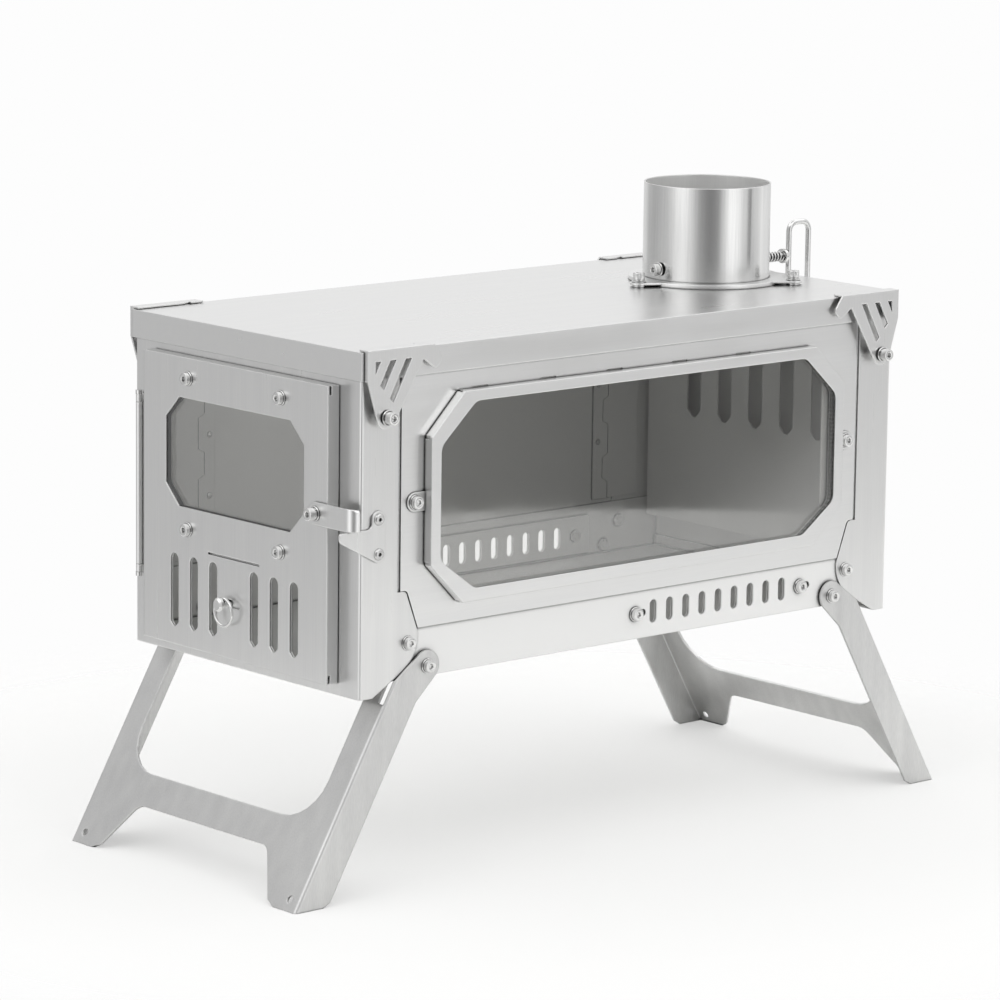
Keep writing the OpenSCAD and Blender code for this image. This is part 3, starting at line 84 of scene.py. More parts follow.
# Colours and nodes

# Sockets of a Mix node by number, as their names repeat: two colours or two values in, one out
COLOUR_A, COLOUR_B, COLOUR_OUT = 6, 7, 2
VALUE_A, VALUE_B, VALUE_OUT = 2, 3, 0


def colour(code):
    """Linear colour of an sRGB hex code such as #C8C8C8, by the sRGB standard's own formula."""
    parts = [int(code[i : i + 2], 16) / 255 for i in (1, 3, 5)]
    linear = [p / 12.92 if p <= 0.04045 else ((p + 0.055) / 1.055) ** 2.4 for p in parts]
    return (*linear, 1.0)


def add(tree, kind, inputs=(), **settings):
    """Adds a node. inputs are pairs of a socket and what goes in: another node's output, or a value.
    Settings are the node's own properties."""
    node = tree.nodes.new(kind)
    for key, value in settings.items():
        setattr(node, key, value)
    for socket, value in inputs:
        if isinstance(value, bpy.types.NodeSocket):
            tree.links.new(node.inputs[socket], value)
        else:
            node.inputs[socket].default_value = value
    return node


def new_finish(name):
    """An empty node material and its tree."""
    material = bpy.data.materials.new(name)
    material.use_nodes = True
    material.node_tree.nodes.clear()
    return material, material.node_tree


# Finishes of the metal. Sizes are in millimetres.

# Grain across and along its direction. Real brushing is about 0.1 mm wide: it is drawn wider, so that it
# shows at the photograph's scale. The legs have short strokes.
GRAIN_WIDTH = 0.55
GRAIN_LENGTH = 38.0
LEG_STROKE = 5.0
# Height of the grain's relief, and its strength where grain is 1
GRAIN_HEIGHT = 0.03
GRAIN_STRENGTH = 0.06
# Below this grain a sheet is calm, and its fine lines don't change its gloss
CALM_GRAIN = 0.5
# Rolling bands across and along the grain, clouds of tone, and the waviness of a panel with its height
BAND_WIDTH = 9.0
BAND_LENGTH = 160.0
CLOUD_SIZE = 90.0
WAVE_SIZE = 140.0
WAVE_HEIGHT = 0.8
# Where one noise counts as fully dark and fully light, for the tone and for the gloss
TONE_RANGE = (0.3, 0.7)
GLOSS_RANGE = (0.35, 0.65)
# How much rougher the dark parts of a sheet are, and how much smoother the light ones
SHEET_ROUGHER, SHEET_SMOOTHER = 0.04, 0.03
# Radius that cut edges and bends show, and rays for that and for seams
SOFT_EDGE = 1.0
CORNER_RAYS = 6
# Painted seam shade: its dark, how far it reaches, and how much more open a point is where it ends than
# where it is full
SEAM_PAINTED_SHADE = "#222222"
SEAM_REACH = 2.2
SEAM_SOFTNESS = 0.3
# Openness below which the painted seam shade is full: on sheets in general, on those with open laps, on
# the tray, and on the slide that stays bright
SEAM_DEPTH = 0.38
LAP_DEPTH = 0.5
TRAY_DEPTH = 0.6
NO_DEPTH = 0.0
# Inside of the firebox: the middle of its space and its half size
FIREBOX_MIDDLE = (0.0, 0.0, 210.0)
FIREBOX_HALF = (100.3, 203.2, 93.6)
# Flue tube: its axis, its inner radius, and how far its inside takes on the firebox's finish and its
# painted light
FLUE_Y = 147.0
FLUE_BORE_R = 37.6
FLUE_SHARE = 0.45
# The matt mill finish of the inside, its colour painted pale: painted light, so that the inside looks lit
INSIDE_MILL_AND_PAINTED_LIGHT = "#F0F0EF"
INSIDE_ROUGHNESS = 0.45
INSIDE_METAL = 0.15
# Small steel parts: clouds of tone, dints, gloss, and the painted shade in sockets and under washers
STEEL_CLOUD = 2.5
DINT_SIZE = 0.4
DINT_DEPTH = 0.05
DINT_STRENGTH = 0.15
STEEL_CLOUD_RANGE = (0.3, 0.7)
STEEL_ROUGHER, STEEL_SMOOTHER = 0.06, 0.05
STEEL_PAINTED_SHADE = "#141414"
STEEL_SHADE_REACH = 1.2
STEEL_SHADE_DEPTH = 0.45


def grain_scale(axis, width, length):
    """Scale of a Mapping node that draws noise out along an axis: one over the length along it, and one
    over the width across it."""
    scale = [1 / (width * MM)] * 3
    scale["XYZ".index(axis)] = 1 / (length * MM)
    return scale


def paint_crevice_shade(tree, colour_socket, depth, dark, reach):
    """Paints shade into a colour where other surfaces stand close, such as in a joint or under a washer,
    as
    shadow falls there: painted shade. depth is the openness, from 0 to 1, below which the painted shade is
    full, and reach is how near those surfaces have to be."""
    near = add(
        tree, "ShaderNodeAmbientOcclusion", [("Distance", reach * MM)],
        samples=CORNER_RAYS,
    )
    open_share = add(
        tree, "ShaderNodeMapRange",
        [("Value", near.outputs["AO"]), ("From Min", depth), ("From Max", depth + SEAM_SOFTNESS)],
    )
    mixed = add(
        tree, "ShaderNodeMix",
        [
            ("Factor", open_share.outputs["Result"]), (COLOUR_A, colour(dark)),
            (COLOUR_B, colour_socket),
        ],
        data_type="RGBA",
    )
    return mixed.outputs[COLOUR_OUT]


def inside_finish_and_light_share(tree, place):
    """One inside the firebox, about a half inside the flue tube and zero outside. In the firebox the
    largest of the point's distances from the middle, each as a share of the firebox's half size, is less
    than one. In the tube the distance from its axis is less than its inner radius."""
    middle = [c * MM for c in FIREBOX_MIDDLE]
    half = [h * MM for h in FIREBOX_HALF]
    moved = add(tree, "ShaderNodeVectorMath", [(0, place), (1, middle)], operation="SUBTRACT")
    share = add(tree, "ShaderNodeVectorMath", [(0, moved.outputs[0]), (1, half)], operation="DIVIDE")
    away = add(tree, "ShaderNodeVectorMath", [(0, share.outputs[0])], operation="ABSOLUTE")
    parts = add(tree, "ShaderNodeSeparateXYZ", [("Vector", away.outputs[0])])
    wide = add(
        tree, "ShaderNodeMath",
        [(0, parts.outputs["X"]), (1, parts.outputs["Y"])],
        operation="MAXIMUM",
    )
    most = add(
        tree, "ShaderNodeMath",
        [(0, wide.outputs[0]), (1, parts.outputs["Z"])],
        operation="MAXIMUM",
    )
    box = add(tree, "ShaderNodeMath", [(0, most.outputs[0]), (1, 1.0)], operation="LESS_THAN")
    across = add(
        tree, "ShaderNodeVectorMath",
        [(0, place), (1, (1.0, 1.0, 0.0))],
        operation="MULTIPLY",
    )
    apart = add(
        tree, "ShaderNodeVectorMath",
        [(0, across.outputs[0]), (1, (0.0, FLUE_Y * MM, 0.0))],
        operation="DISTANCE",
    )
    flue = add(
        tree, "ShaderNodeMath",
        [(0, apart.outputs["Value"]), (1, FLUE_BORE_R * MM)],
        operation="LESS_THAN",
    )
    part = add(tree, "ShaderNodeMath", [(0, flue.outputs[0]), (1, FLUE_SHARE)], operation="MULTIPLY")
    both = add(
        tree, "ShaderNodeMath",
        [(0, box.outputs[0]), (1, part.outputs[0])],
        operation="MAXIMUM",
    )
    return both.outputs[0]


def rolled_sheet(
    name, light, dark, axis, roughness=0.3, grain=1.0, wave=1.0, seam_shade=SEAM_DEPTH, stroke=GRAIN_LENGTH
):
    """Stainless sheet with a fine directional grain: lines along one axis, slow changes of tone and of
    gloss, a faint waviness of the panel, softened cut edges, and painted shade where other surfaces stand
    close. Tone is the sum of three noises, fine lines, wide bands and clouds, and gloss follows it. Inside
    the firebox the same sheet shows its other side, a matt mill finish, its colour painted pale as painted
    light so that the inside looks lit."""
    material, tree = new_finish(name)
    place = add(tree, "ShaderNodeTexCoord").outputs["Object"]
    fine = add(
        tree, "ShaderNodeMapping",
        [("Vector", place), ("Scale", grain_scale(axis, GRAIN_WIDTH, stroke))],
    )
    lines = add(
        tree, "ShaderNodeTexNoise",
        [("Vector", fine.outputs["Vector"]), ("Scale", 1.0), ("Detail", 2.0), ("Roughness", 0.6)],
    )
    wide = add(
        tree, "ShaderNodeMapping",
        [("Vector", place), ("Scale", grain_scale(axis, BAND_WIDTH, BAND_LENGTH))],
    )
    bands = add(
        tree, "ShaderNodeTexNoise",
        [("Vector", wide.outputs["Vector"]), ("Scale", 1.0), ("Detail", 1.0), ("Roughness", 0.5)],
    )
    cloud = add(
        tree, "ShaderNodeTexNoise",
        [("Vector", place), ("Scale", 1 / (CLOUD_SIZE * MM)), ("Detail", 2.0), ("Roughness", 0.5)],
    )
    calm = add(
        tree, "ShaderNodeMath",
        [(0, bands.outputs["Fac"]), (1, cloud.outputs["Fac"])],
        operation="ADD",
    )
    tone = add(
        tree, "ShaderNodeMath",
        [(0, calm.outputs[0]), (1, lines.outputs["Fac"])],
        operation="ADD",
    )
    ramp = add(
        tree, "ShaderNodeMapRange",
        [
            ("Value", tone.outputs[0]), ("From Min", 3 * TONE_RANGE[0]),
            ("From Max", 3 * TONE_RANGE[1]),
        ],
    )
    paint = add(
        tree, "ShaderNodeMix",
        [("Factor", ramp.outputs["Result"]), (COLOUR_A, colour(dark)), (COLOUR_B, colour(light))],
        data_type="RGBA",
    )
    inside = inside_finish_and_light_share(tree, place)
    # Painted light: inside the firebox and the flue the colour turns to the pale inside tone, so that the
    # inside looks lit
    sides = add(
        tree, "ShaderNodeMix",
        [
            ("Factor", inside), (COLOUR_A, paint.outputs[COLOUR_OUT]),
            (COLOUR_B, colour(INSIDE_MILL_AND_PAINTED_LIGHT)),
        ],
        data_type="RGBA",
    )
    # Painted shade where other surfaces stand close: in seams, laps and under parts
    painted_shade = paint_crevice_shade(tree, sides.outputs[COLOUR_OUT], seam_shade, SEAM_PAINTED_SHADE, SEAM_REACH)
    # On a calm sheet the gloss follows two of the three noises, so that nothing glitters
    shine, noises = (tone, 3) if grain > CALM_GRAIN else (calm, 2)
    gloss = add(
        tree, "ShaderNodeMapRange",
        [
            ("Value", shine.outputs[0]), ("From Min", noises * GLOSS_RANGE[0]),
            ("From Max", noises * GLOSS_RANGE[1]), ("To Min", roughness + SHEET_ROUGHER),
            ("To Max", roughness - SHEET_SMOOTHER),
        ],
    )
    matt = add(
        tree, "ShaderNodeMix",
        [("Factor", inside), (VALUE_A, gloss.outputs["Result"]), (VALUE_B, INSIDE_ROUGHNESS)],
    )
    metal = add(
        tree, "ShaderNodeMapRange",
        [("Value", inside), ("To Min", 1.0), ("To Max", INSIDE_METAL)],
    )
    edge = add(tree, "ShaderNodeBevel", [("Radius", SOFT_EDGE * MM)], samples=CORNER_RAYS)
    panel = add(
        tree, "ShaderNodeTexNoise",
        [("Vector", place), ("Scale", 1 / (WAVE_SIZE * MM)), ("Detail", 0.0)],
    )
    sag = add(
        tree, "ShaderNodeBump",
        [
            ("Height", panel.outputs["Fac"]), ("Normal", edge.outputs["Normal"]), ("Strength", 1.0),
            ("Distance", wave * WAVE_HEIGHT * MM),
        ],
    )
    relief = add(
        tree, "ShaderNodeBump",
        [
            ("Height", lines.outputs["Fac"]), ("Normal", sag.outputs["Normal"]),
            ("Strength", GRAIN_STRENGTH * grain), ("Distance", GRAIN_HEIGHT * MM),
        ],
    )
    steel = add(
        tree, "ShaderNodeBsdfPrincipled",
        [
            ("Base Color", painted_shade), ("Roughness", matt.outputs[VALUE_OUT]),
            ("Normal", relief.outputs["Normal"]), ("Metallic", metal.outputs["Result"]),
        ],
    )
    add(tree, "ShaderNodeOutputMaterial", [("Surface", steel.outputs["BSDF"])])
    return material


def bright_steel(name, light, dark, roughness, dint=DINT_SIZE):
    """Turned or drawn bright steel of screws, rivets and wire: high gloss, faint cloudy tone, tiny dints,
    and painted shade where parts meet."""
    material, tree = new_finish(name)
    place = add(tree, "ShaderNodeTexCoord").outputs["Object"]
    cloud = add(
        tree, "ShaderNodeTexNoise",
        [("Vector", place), ("Scale", 1 / (STEEL_CLOUD * MM)), ("Detail", 3.0), ("Roughness", 0.6)],
    )
    fine = add(
        tree, "ShaderNodeTexNoise",
        [("Vector", place), ("Scale", 1 / (dint * MM)), ("Detail", 2.0), ("Roughness", 0.5)],
    )
    paint = add(
        tree, "ShaderNodeMix",
        [("Factor", cloud.outputs["Fac"]), (COLOUR_A, colour(dark)), (COLOUR_B, colour(light))],
        data_type="RGBA",
    )
    # Painted shade in sockets, in knurls and under washers
    painted_shade = paint_crevice_shade(
        tree, paint.outputs[COLOUR_OUT], STEEL_SHADE_DEPTH, STEEL_PAINTED_SHADE, STEEL_SHADE_REACH
    )
    gloss = add(
        tree, "ShaderNodeMapRange",
        [
            ("Value", cloud.outputs["Fac"]), ("From Min", STEEL_CLOUD_RANGE[0]),
            ("From Max", STEEL_CLOUD_RANGE[1]), ("To Min", roughness + STEEL_ROUGHER),
            ("To Max", roughness - STEEL_SMOOTHER),
        ],
    )
    relief = add(
        tree, "ShaderNodeBump",
        [
            ("Height", fine.outputs["Fac"]), ("Strength", DINT_STRENGTH),
            ("Distance", DINT_DEPTH * MM),
        ],
    )
    steel = add(
        tree, "ShaderNodeBsdfPrincipled",
        [
            ("Base Color", painted_shade), ("Metallic", 1.0), ("Roughness", gloss.outputs["Result"]),
            ("Normal", relief.outputs["Normal"]),
        ],
    )
    add(tree, "ShaderNodeOutputMaterial", [("Surface", steel.outputs["BSDF"])])
    return material


# Glass and gasket. Sizes are in millimetres.

# Clouds of the faint film on the pane, and the mirror's roughness where it is thin and where it is thick
FILM_SIZE = 60.0
FILM_RANGE = (0.35, 0.65)
FILM_ROUGHNESS = (0.03, 0.08)
# Share of the light that a face of the pane mirrors seen straight on, and the power of the slant by which
# it grows to all of it at a grazing angle. Clean glass mirrors 0.04: the photograph's pane shows more.
MIRROR_SHARE = 0.145
GRAZING_POWER = 5.0
# Weave of the gasket. Real yarns lie about 1.2 mm apart: they are drawn twice as wide, so that they show.
YARN_PITCH = 2.3687
YARN_WOBBLE = 0.4
YARN_HEIGHT = 0.3
YARN_STRENGTH = 0.6
# Blender's wave texture makes this many radians of its wave in one unit of its space
WAVE_RADIANS = 20.0


def ceramic_pane(name, tint, veil):
    """Heat-proof ceramic pane, clear but for a faint film: what is behind shows through, and each face
    mirrors a share of the studio that grows with a power of the slant."""
    material, tree = new_finish(name)
    place = add(tree, "ShaderNodeTexCoord").outputs["Object"]
    film = add(
        tree, "ShaderNodeTexNoise",
        [("Vector", place), ("Scale", 1 / (FILM_SIZE * MM)), ("Detail", 4.0), ("Roughness", 0.6)],
    )
    shade = add(
        tree, "ShaderNodeMix",
        [("Factor", film.outputs["Fac"]), (COLOUR_A, colour(tint)), (COLOUR_B, colour(veil))],
        data_type="RGBA",
    )
    haze = add(
        tree, "ShaderNodeMapRange",
        [
            ("Value", film.outputs["Fac"]), ("From Min", FILM_RANGE[0]), ("From Max", FILM_RANGE[1]),
            ("To Min", FILM_ROUGHNESS[0]), ("To Max", FILM_ROUGHNESS[1]),
        ],
    )
    clear = add(tree, "ShaderNodeBsdfTransparent", [("Color", shade.outputs[COLOUR_OUT])])
    mirror = add(
        tree, "ShaderNodeBsdfGlossy",
        [("Roughness", haze.outputs["Result"]), ("Color", colour("#FFFFFF"))],
    )
    slant = add(tree, "ShaderNodeLayerWeight", [("Blend", 0.5)])
    steep = add(
        tree, "ShaderNodeMath",
        [(0, slant.outputs["Facing"]), (1, GRAZING_POWER)],
        operation="POWER",
    )
    share = add(
        tree, "ShaderNodeMapRange",
        [("Value", steep.outputs[0]), ("To Min", MIRROR_SHARE), ("To Max", 1.0)],
    )
    both = add(
        tree, "ShaderNodeMixShader",
        [("Fac", share.outputs["Result"]), (1, clear.outputs["BSDF"]), (2, mirror.outputs["BSDF"])],
    )
    add(tree, "ShaderNodeOutputMaterial", [("Surface", both.outputs["Shader"])])
    return material


def woven_glass_tape(name, light, dark):
    """Heat-proof gasket tape: matt grey glass yarn in a plain weave, one wave across times one along."""
    material, tree = new_finish(name)
    place = add(tree, "ShaderNodeTexCoord").outputs["Object"]
    scale = math.tau / WAVE_RADIANS / (YARN_PITCH * MM)
    across, along = (
        add(
            tree, "ShaderNodeTexWave",
            [("Vector", place), ("Scale", scale), ("Distortion", YARN_WOBBLE)],
            wave_type="BANDS",
            bands_direction=direction,
        )
        for direction in "YZ"
    )
    weave = add(
        tree, "ShaderNodeMath",
        [(0, across.outputs["Fac"]), (1, along.outputs["Fac"])],
        operation="MULTIPLY",
    )
    paint = add(
        tree, "ShaderNodeMix",
        [("Factor", weave.outputs[0]), (COLOUR_A, colour(dark)), (COLOUR_B, colour(light))],
        data_type="RGBA",
    )
    relief = add(
        tree, "ShaderNodeBump",
        [("Height", weave.outputs[0]), ("Strength", YARN_STRENGTH), ("Distance", YARN_HEIGHT * MM)],
    )
    yarn = add(
        tree, "ShaderNodeBsdfPrincipled",
        [
            ("Base Color", paint.outputs[COLOUR_OUT]), ("Normal", relief.outputs["Normal"]),
            ("Roughness", 0.9),
        ],
    )
    add(tree, "ShaderNodeOutputMaterial", [("Surface", yarn.outputs["BSDF"])])
    return material


# Surfaces worked out with numpy

# Edges sharper than this many degrees stay sharp
SHARP_ANGLE = 38.0
# Cosine past which a direction counts as lying along another
ALONG = 0.95


def lathe(profile, segments, radius_of=None):
    """Turns an (r, z) profile about Z: x is r times the cosine of the angle, y is r times its sine.
    radius_of(theta, r, z, row) may change the radius with the angle. Returns [profile, segments, 3]."""
    r, z = np.asarray(profile, float).T
    theta = np.arange(segments) * math.tau / segments
    rr = np.repeat(r[:, None], segments, 1)
    zz = np.repeat(z[:, None], segments, 1)
    tt = np.repeat(theta[None, :], len(r), 0)
    if radius_of is not None:
        rr = radius_of(tt, rr, zz, np.arange(len(r))[:, None])
    return np.stack([rr * np.cos(tt), rr * np.sin(tt), zz], -1)


def hexagon(theta, corner_radius):
    """Radius of a hexagon's outline at each angle: the flat's distance over the cosine of the angle from
    the middle of the nearest flat."""
    turn = np.mod(theta, math.pi / 3) - math.pi / 6
    return corner_radius * math.cos(math.pi / 6) / np.cos(turn)


def tube(path, radius, sides, closed=False):
    """Carries a circle along a path of points: each ring is the path's point, plus the radius times the
    cosine of the angle along one direction square to the path, and the sine along the other. Returns
    [path, sides, 3]."""
    path = np.asarray(path, float)
    ahead = np.roll(path, -1, 0) - np.roll(path, 1, 0)
    if not closed:
        ahead[0], ahead[-1] = path[1] - path[0], path[-1] - path[-2]
    ahead /= np.linalg.norm(ahead, axis=1)[:, None]
    for guide in ((1.0, 0.0, 0.0), (0.0, 0.0, 1.0), (0.0, 1.0, 0.0)):
        if abs(ahead @ guide).max() <= ALONG:
            break
    side = np.cross(guide, ahead)
    side /= np.linalg.norm(side, axis=1)[:, None]
    other = np.cross(ahead, side)
    theta = np.arange(sides)[None, :, None] * math.tau / sides
    ring = np.cos(theta) * side[:, None, :] + np.sin(theta) * other[:, None, :]
    return path[:, None, :] + radius * ring


class Skin:
    """Grids of points and their faces, collected for one mesh."""

    def __init__(self):
        self.points, self.faces, self.count = [], [], 0

    def grid(self, points, wrap_rows=False, cap_first=False, cap_last=False, flip=False):
        """Faces between neighbouring points of a [rows, columns, 3] grid whose columns close round.
        wrap_rows joins the last row to the first. A cap closes an end row to its middle point."""
        rows, columns = points.shape[:2]
        base = self.count + np.arange(rows * columns).reshape(rows, columns)
        a = base if wrap_rows else base[:-1]
        b = np.roll(base, -1, 0) if wrap_rows else base[1:]
        quads = np.stack([a, np.roll(a, -1, 1), np.roll(b, -1, 1), b], -1).reshape(-1, 4)
        self.points.append(points.reshape(-1, 3))
        self.faces += (quads[:, ::-1] if flip else quads).tolist()
        self.count += rows * columns
        for cap, row, turned in ((cap_first, 0, True), (cap_last, -1, False)):
            if cap:
                ring = base[row]
                self.points.append(points[row].mean(0)[None, :])
                fan = np.stack([ring, np.roll(ring, -1), np.full(columns, self.count)], -1)
                self.faces += (fan[:, ::-1] if turned != flip else fan).tolist()
                self.count += 1
        return self

    def placed(self, place, towards, turn=0.0):
        """The same skin with its Z axis pointed towards a direction, turned about it, and moved."""
        z = np.asarray(towards, float)
        x = np.cross([0.0, 0.0, 1.0], z) if abs(z[2]) < ALONG else np.array([1.0, 0.0, 0.0])
        x /= np.linalg.norm(x)
        y = np.cross(z, x)
        c, s = math.cos(turn), math.sin(turn)
        spin = np.array([[c, -s, 0], [s, c, 0], [0, 0, 1]])
        matrix = np.stack([x, y, z], 1) @ spin
        moved = Skin()
        moved.points = [p @ matrix.T + np.asarray(place, float) for p in self.points]
        moved.faces, moved.count = self.faces, self.count
        return moved


def make_piece(name, skins, material, body, replaced):
    """One object from several skins, in millimetres. It rides on a body and stands for a CAD node."""
    points, faces, start = [], [], 0
    for skin in skins:
        points += skin.points
        faces += [[i + start for i in face] for face in skin.faces]
        start += skin.count
    mesh = bpy.data.meshes.new(name)
    mesh.from_pydata((np.concatenate(points) * MM).tolist(), [], faces)
    mesh.polygons.foreach_set("use_smooth", [True] * len(mesh.polygons))
    mesh.set_sharp_from_angle(angle=math.radians(SHARP_ANGLE))
    mesh.materials.append(material)
    mesh.update()
    piece = bpy.data.objects.new(name, mesh)
    bpy.context.scene.collection.objects.link(piece)
    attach(piece, body)
    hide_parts(replaced)


# Fasteners: M4 socket screws, their washers and nuts, in millimetres

SCREW_R = 2.0
THREAD_PITCH = 0.7
# How much of the radius the thread's zigzag takes over one pitch, and its rows of points in a pitch
THREAD_SLOPE = 0.42
THREAD_ROWS = 6
THREAD_SIDES = 20
HEAD_R = 3.5
HEAD_H = 4.0
LOW_HEAD_H = 2.8
HEAD_UNDER_R = 2.4
HEAD_SHOULDER = 0.32
HEAD_SIDES = 120
KNURLS = 30
KNURL_DEPTH = 0.13
SOCKET_CORNER_R = 1.7
# Depth of the socket as a share of the head's height
SOCKET_SHARE = 0.55
WASHER_BORE_R = 2.1
WASHER_R = 4.2
WASHER_T = 0.8
WASHER_EDGE = 0.15
SPRING_WASHER_R = 3.4
SPRING_WASHER_T = 1.0
SPRING_WASHER_CLIMB = 0.14
# Half the angle of its slit, in degrees
SPRING_WASHER_SLIT = 5.0
RING_SIDES = 40
NUT_BORE_R = 1.9
NUT_R = 3.9
NUT_H = 2.4
NUT_SIDES = 48
# The cone that cuts the nut's corners back: how far past the flats it starts, and how fast it widens
NUT_CONE_EDGE = 0.05
NUT_CONE_SLOPE = 1.7
# Turn of a set's first screw, and how much further each next one ends up, in radians
FIRST_TURN = 0.7
NEXT_TURN = 1.9


def washer_skin():
    """Flat washer: a section with rounded outer edges turned about the axis."""
    outer, e, top = WASHER_R, WASHER_EDGE, WASHER_T
    section = [
        (WASHER_BORE_R, 0.0), (outer - e, 0.0), (outer, e), (outer, top - e), (outer - e, top),
        (WASHER_BORE_R, top),
    ]
    return Skin().grid(lathe(section, RING_SIDES), wrap_rows=True, flip=True)


def spring_washer_skin(low):
    """Split ring: a rectangular section carried round 350 degrees while it climbs a little."""
    theta = np.linspace(
        math.radians(SPRING_WASHER_SLIT), math.radians(360 - SPRING_WASHER_SLIT), RING_SIDES
    )[:, None]
    thick = SPRING_WASHER_T - SPRING_WASHER_CLIMB
    inner, outer = WASHER_BORE_R, SPRING_WASHER_R
    section = np.array([(inner, 0.0), (outer, 0.0), (outer, thick), (inner, thick)])
    r = section[None, :, 0]
    z = low + section[None, :, 1] + SPRING_WASHER_CLIMB * (theta / math.tau)
    points = np.stack([r * np.cos(theta), r * np.sin(theta), z], -1)
    return Skin().grid(points, cap_first=True, cap_last=True, flip=True)


def cap_head_skin(low, height):
    """Socket head: knurled side, rounded shoulder, and a hexagonal socket with a conical floor. Knurls are
    a cosine of the angle taken off the radius of the side's rows, and the socket's rows are a hexagon."""
    top = low + height
    e = HEAD_SHOULDER
    floor = top - height * SOCKET_SHARE
    foot = [(HEAD_UNDER_R, low), (HEAD_R - 0.15, low), (HEAD_R, low + 0.2)]
    side = [(HEAD_R, low + 0.5), (HEAD_R, top - 0.9), (HEAD_R, top - e)]
    crown = [(HEAD_R - 0.1, top - 0.12), (HEAD_R - e, top), (2.15, top), (1.95, top - 0.02)]
    socket = [(SOCKET_CORNER_R, top - 0.22), (SOCKET_CORNER_R, floor)]
    profile = foot + side + crown + socket + [(0.9, floor - 0.25)]
    side_row = len(foot)
    socket_row = len(foot + side + crown)

    def knurl_and_socket(theta, r, z, row):
        groove = KNURL_DEPTH * (0.5 + 0.5 * np.cos(KNURLS * theta))
        on_side = (row >= side_row) & (row < side_row + len(side))
        in_socket = (row >= socket_row) & (row < socket_row + len(socket))
        return np.where(in_socket, hexagon(theta, SOCKET_CORNER_R), np.where(on_side, r - groove, r))

    return Skin().grid(lathe(profile, HEAD_SIDES, knurl_and_socket), cap_first=True, cap_last=True)


def thread_skin(high, low):
    """Threaded shank: the radius follows a zigzag of the height in pitches less the angle in turns."""
    rows = int((high - low) / THREAD_PITCH * THREAD_ROWS) + 2
    profile = [(SCREW_R, z) for z in np.linspace(low, high, rows)]

    def ridge(theta, r, z, row):
        phase = np.mod(z / THREAD_PITCH - theta / math.tau, 1.0)
        return r - THREAD_SLOPE * abs(phase - 0.5)

    return Skin().grid(lathe(profile, THREAD_SIDES, ridge), cap_first=True, cap_last=True)


def nut_skin(low):
    """Hexagon nut: a hexagon cut back by a cone at both ends, round a bore. The radius is the smaller of
    the hexagon's and the cone's."""
    rows = [0.0, 0.12, 0.35, 0.7, NUT_H - 0.7, NUT_H - 0.35, NUT_H - 0.12, NUT_H]
    profile = [(NUT_BORE_R, low)] + [(NUT_R, low + h) for h in rows] + [(NUT_BORE_R, low + NUT_H)]
    flat_r = NUT_R * math.cos(math.pi / 6)

    def six_sides(theta, r, z, row):
        near = np.minimum(z - low, low + NUT_H - z)
        cone = flat_r + NUT_CONE_EDGE + np.maximum(near, 0) * NUT_CONE_SLOPE
        return np.where(r > NUT_BORE_R, np.minimum(hexagon(theta, NUT_R), cone), r)

    return Skin().grid(lathe(profile, NUT_SIDES, six_sides), wrap_rows=True)


def cap_screw_skins(grip, nut, low_head):
    """A cap screw with its washers and its nut, seated at the origin, head towards +Z. A low-headed screw
    and one without a nut have no spring washer."""
    skins = [washer_skin()]
    head = WASHER_T
    if nut and not low_head:
        skins.append(spring_washer_skin(WASHER_T))
        head += SPRING_WASHER_T
    if nut:
        skins.append(thread_skin(head, -grip - NUT_H))
        skins.append(nut_skin(-grip - NUT_H))
    skins.append(cap_head_skin(head, LOW_HEAD_H if low_head else HEAD_H))
    return skins


def screw_set(name, node, body, places, towards, grip, nut=True, low_head=False):
    """The same screw at several places. Each is turned by another angle, as screws end up."""
    skins = cap_screw_skins(grip, nut, low_head)
    placed = [
        skin.placed(place, way, FIRST_TURN + NEXT_TURN * i)
        for i, (place, way) in enumerate(zip(places, towards))
        for skin in skins
    ]
    make_piece(name, placed, FASTENER, body, node)


def four_corners(x, y, z):
    """One place in each corner of the stove, all at the same height."""
    return [(sx * x, sy * y, z) for sx in (1, -1) for sy in (-1, 1)]


def outwards(places):
    """Sideways direction of each place, away from the stove."""
    return [(1.0 if p[0] > 0 else -1.0, 0.0, 0.0) for p in places]


# Materials of this stove

# Grain and waviness of the sheets that look smooth at the photograph's scale
CALM = {"grain": 0.3, "wave": 0.6}
# Fine brushed 304 sheet: a light satin grey with soft upright streaks and bright bends
BODY_SHEET_UPRIGHT = rolled_sheet("stainless_sheet_upright_grain", "#EAEAE9", "#DEDEDE", "Z")
# The same sheet with its grain along the stove: paler and calmer, with painted shade where sheets lap
BODY_SHEET_LENGTHWISE = rolled_sheet(
    "stainless_sheet_lengthwise_grain", "#ECECEB", "#E4E4E4", "Y", seam_shade=LAP_DEPTH, **CALM
)
# Painted shade: the tray's side faces the floor and mirrors it, so a greyer copy of the sheet gives it the
# panels' tone, and its seams get stronger painted shade
TRAY_SHEET_PAINTED_GREYER = rolled_sheet(
    "stainless_tray_sheet_painted_shade", "#D2D2D1", "#CACACA", "Y", 0.32, seam_shade=TRAY_DEPTH, **CALM
)
# Painted light: the slide behind the door's slots is a paler copy of the sheet, with no painted seam
# shade, so that it stays bright in them
SLIDE_SHEET_PAINTED_LIGHT = rolled_sheet(
    "stainless_slide_sheet_painted_light", "#F0F0EF", "#E8E8E8", "Y", 0.34, seam_shade=NO_DEPTH, **CALM
)
# Lid: smooth sheet, a soft mirror of the flue tube
LID_SHEET = rolled_sheet("stainless_lid_sheet", "#E8E8E7", "#E2E2E2", "Y", grain=0.0, wave=0.6)
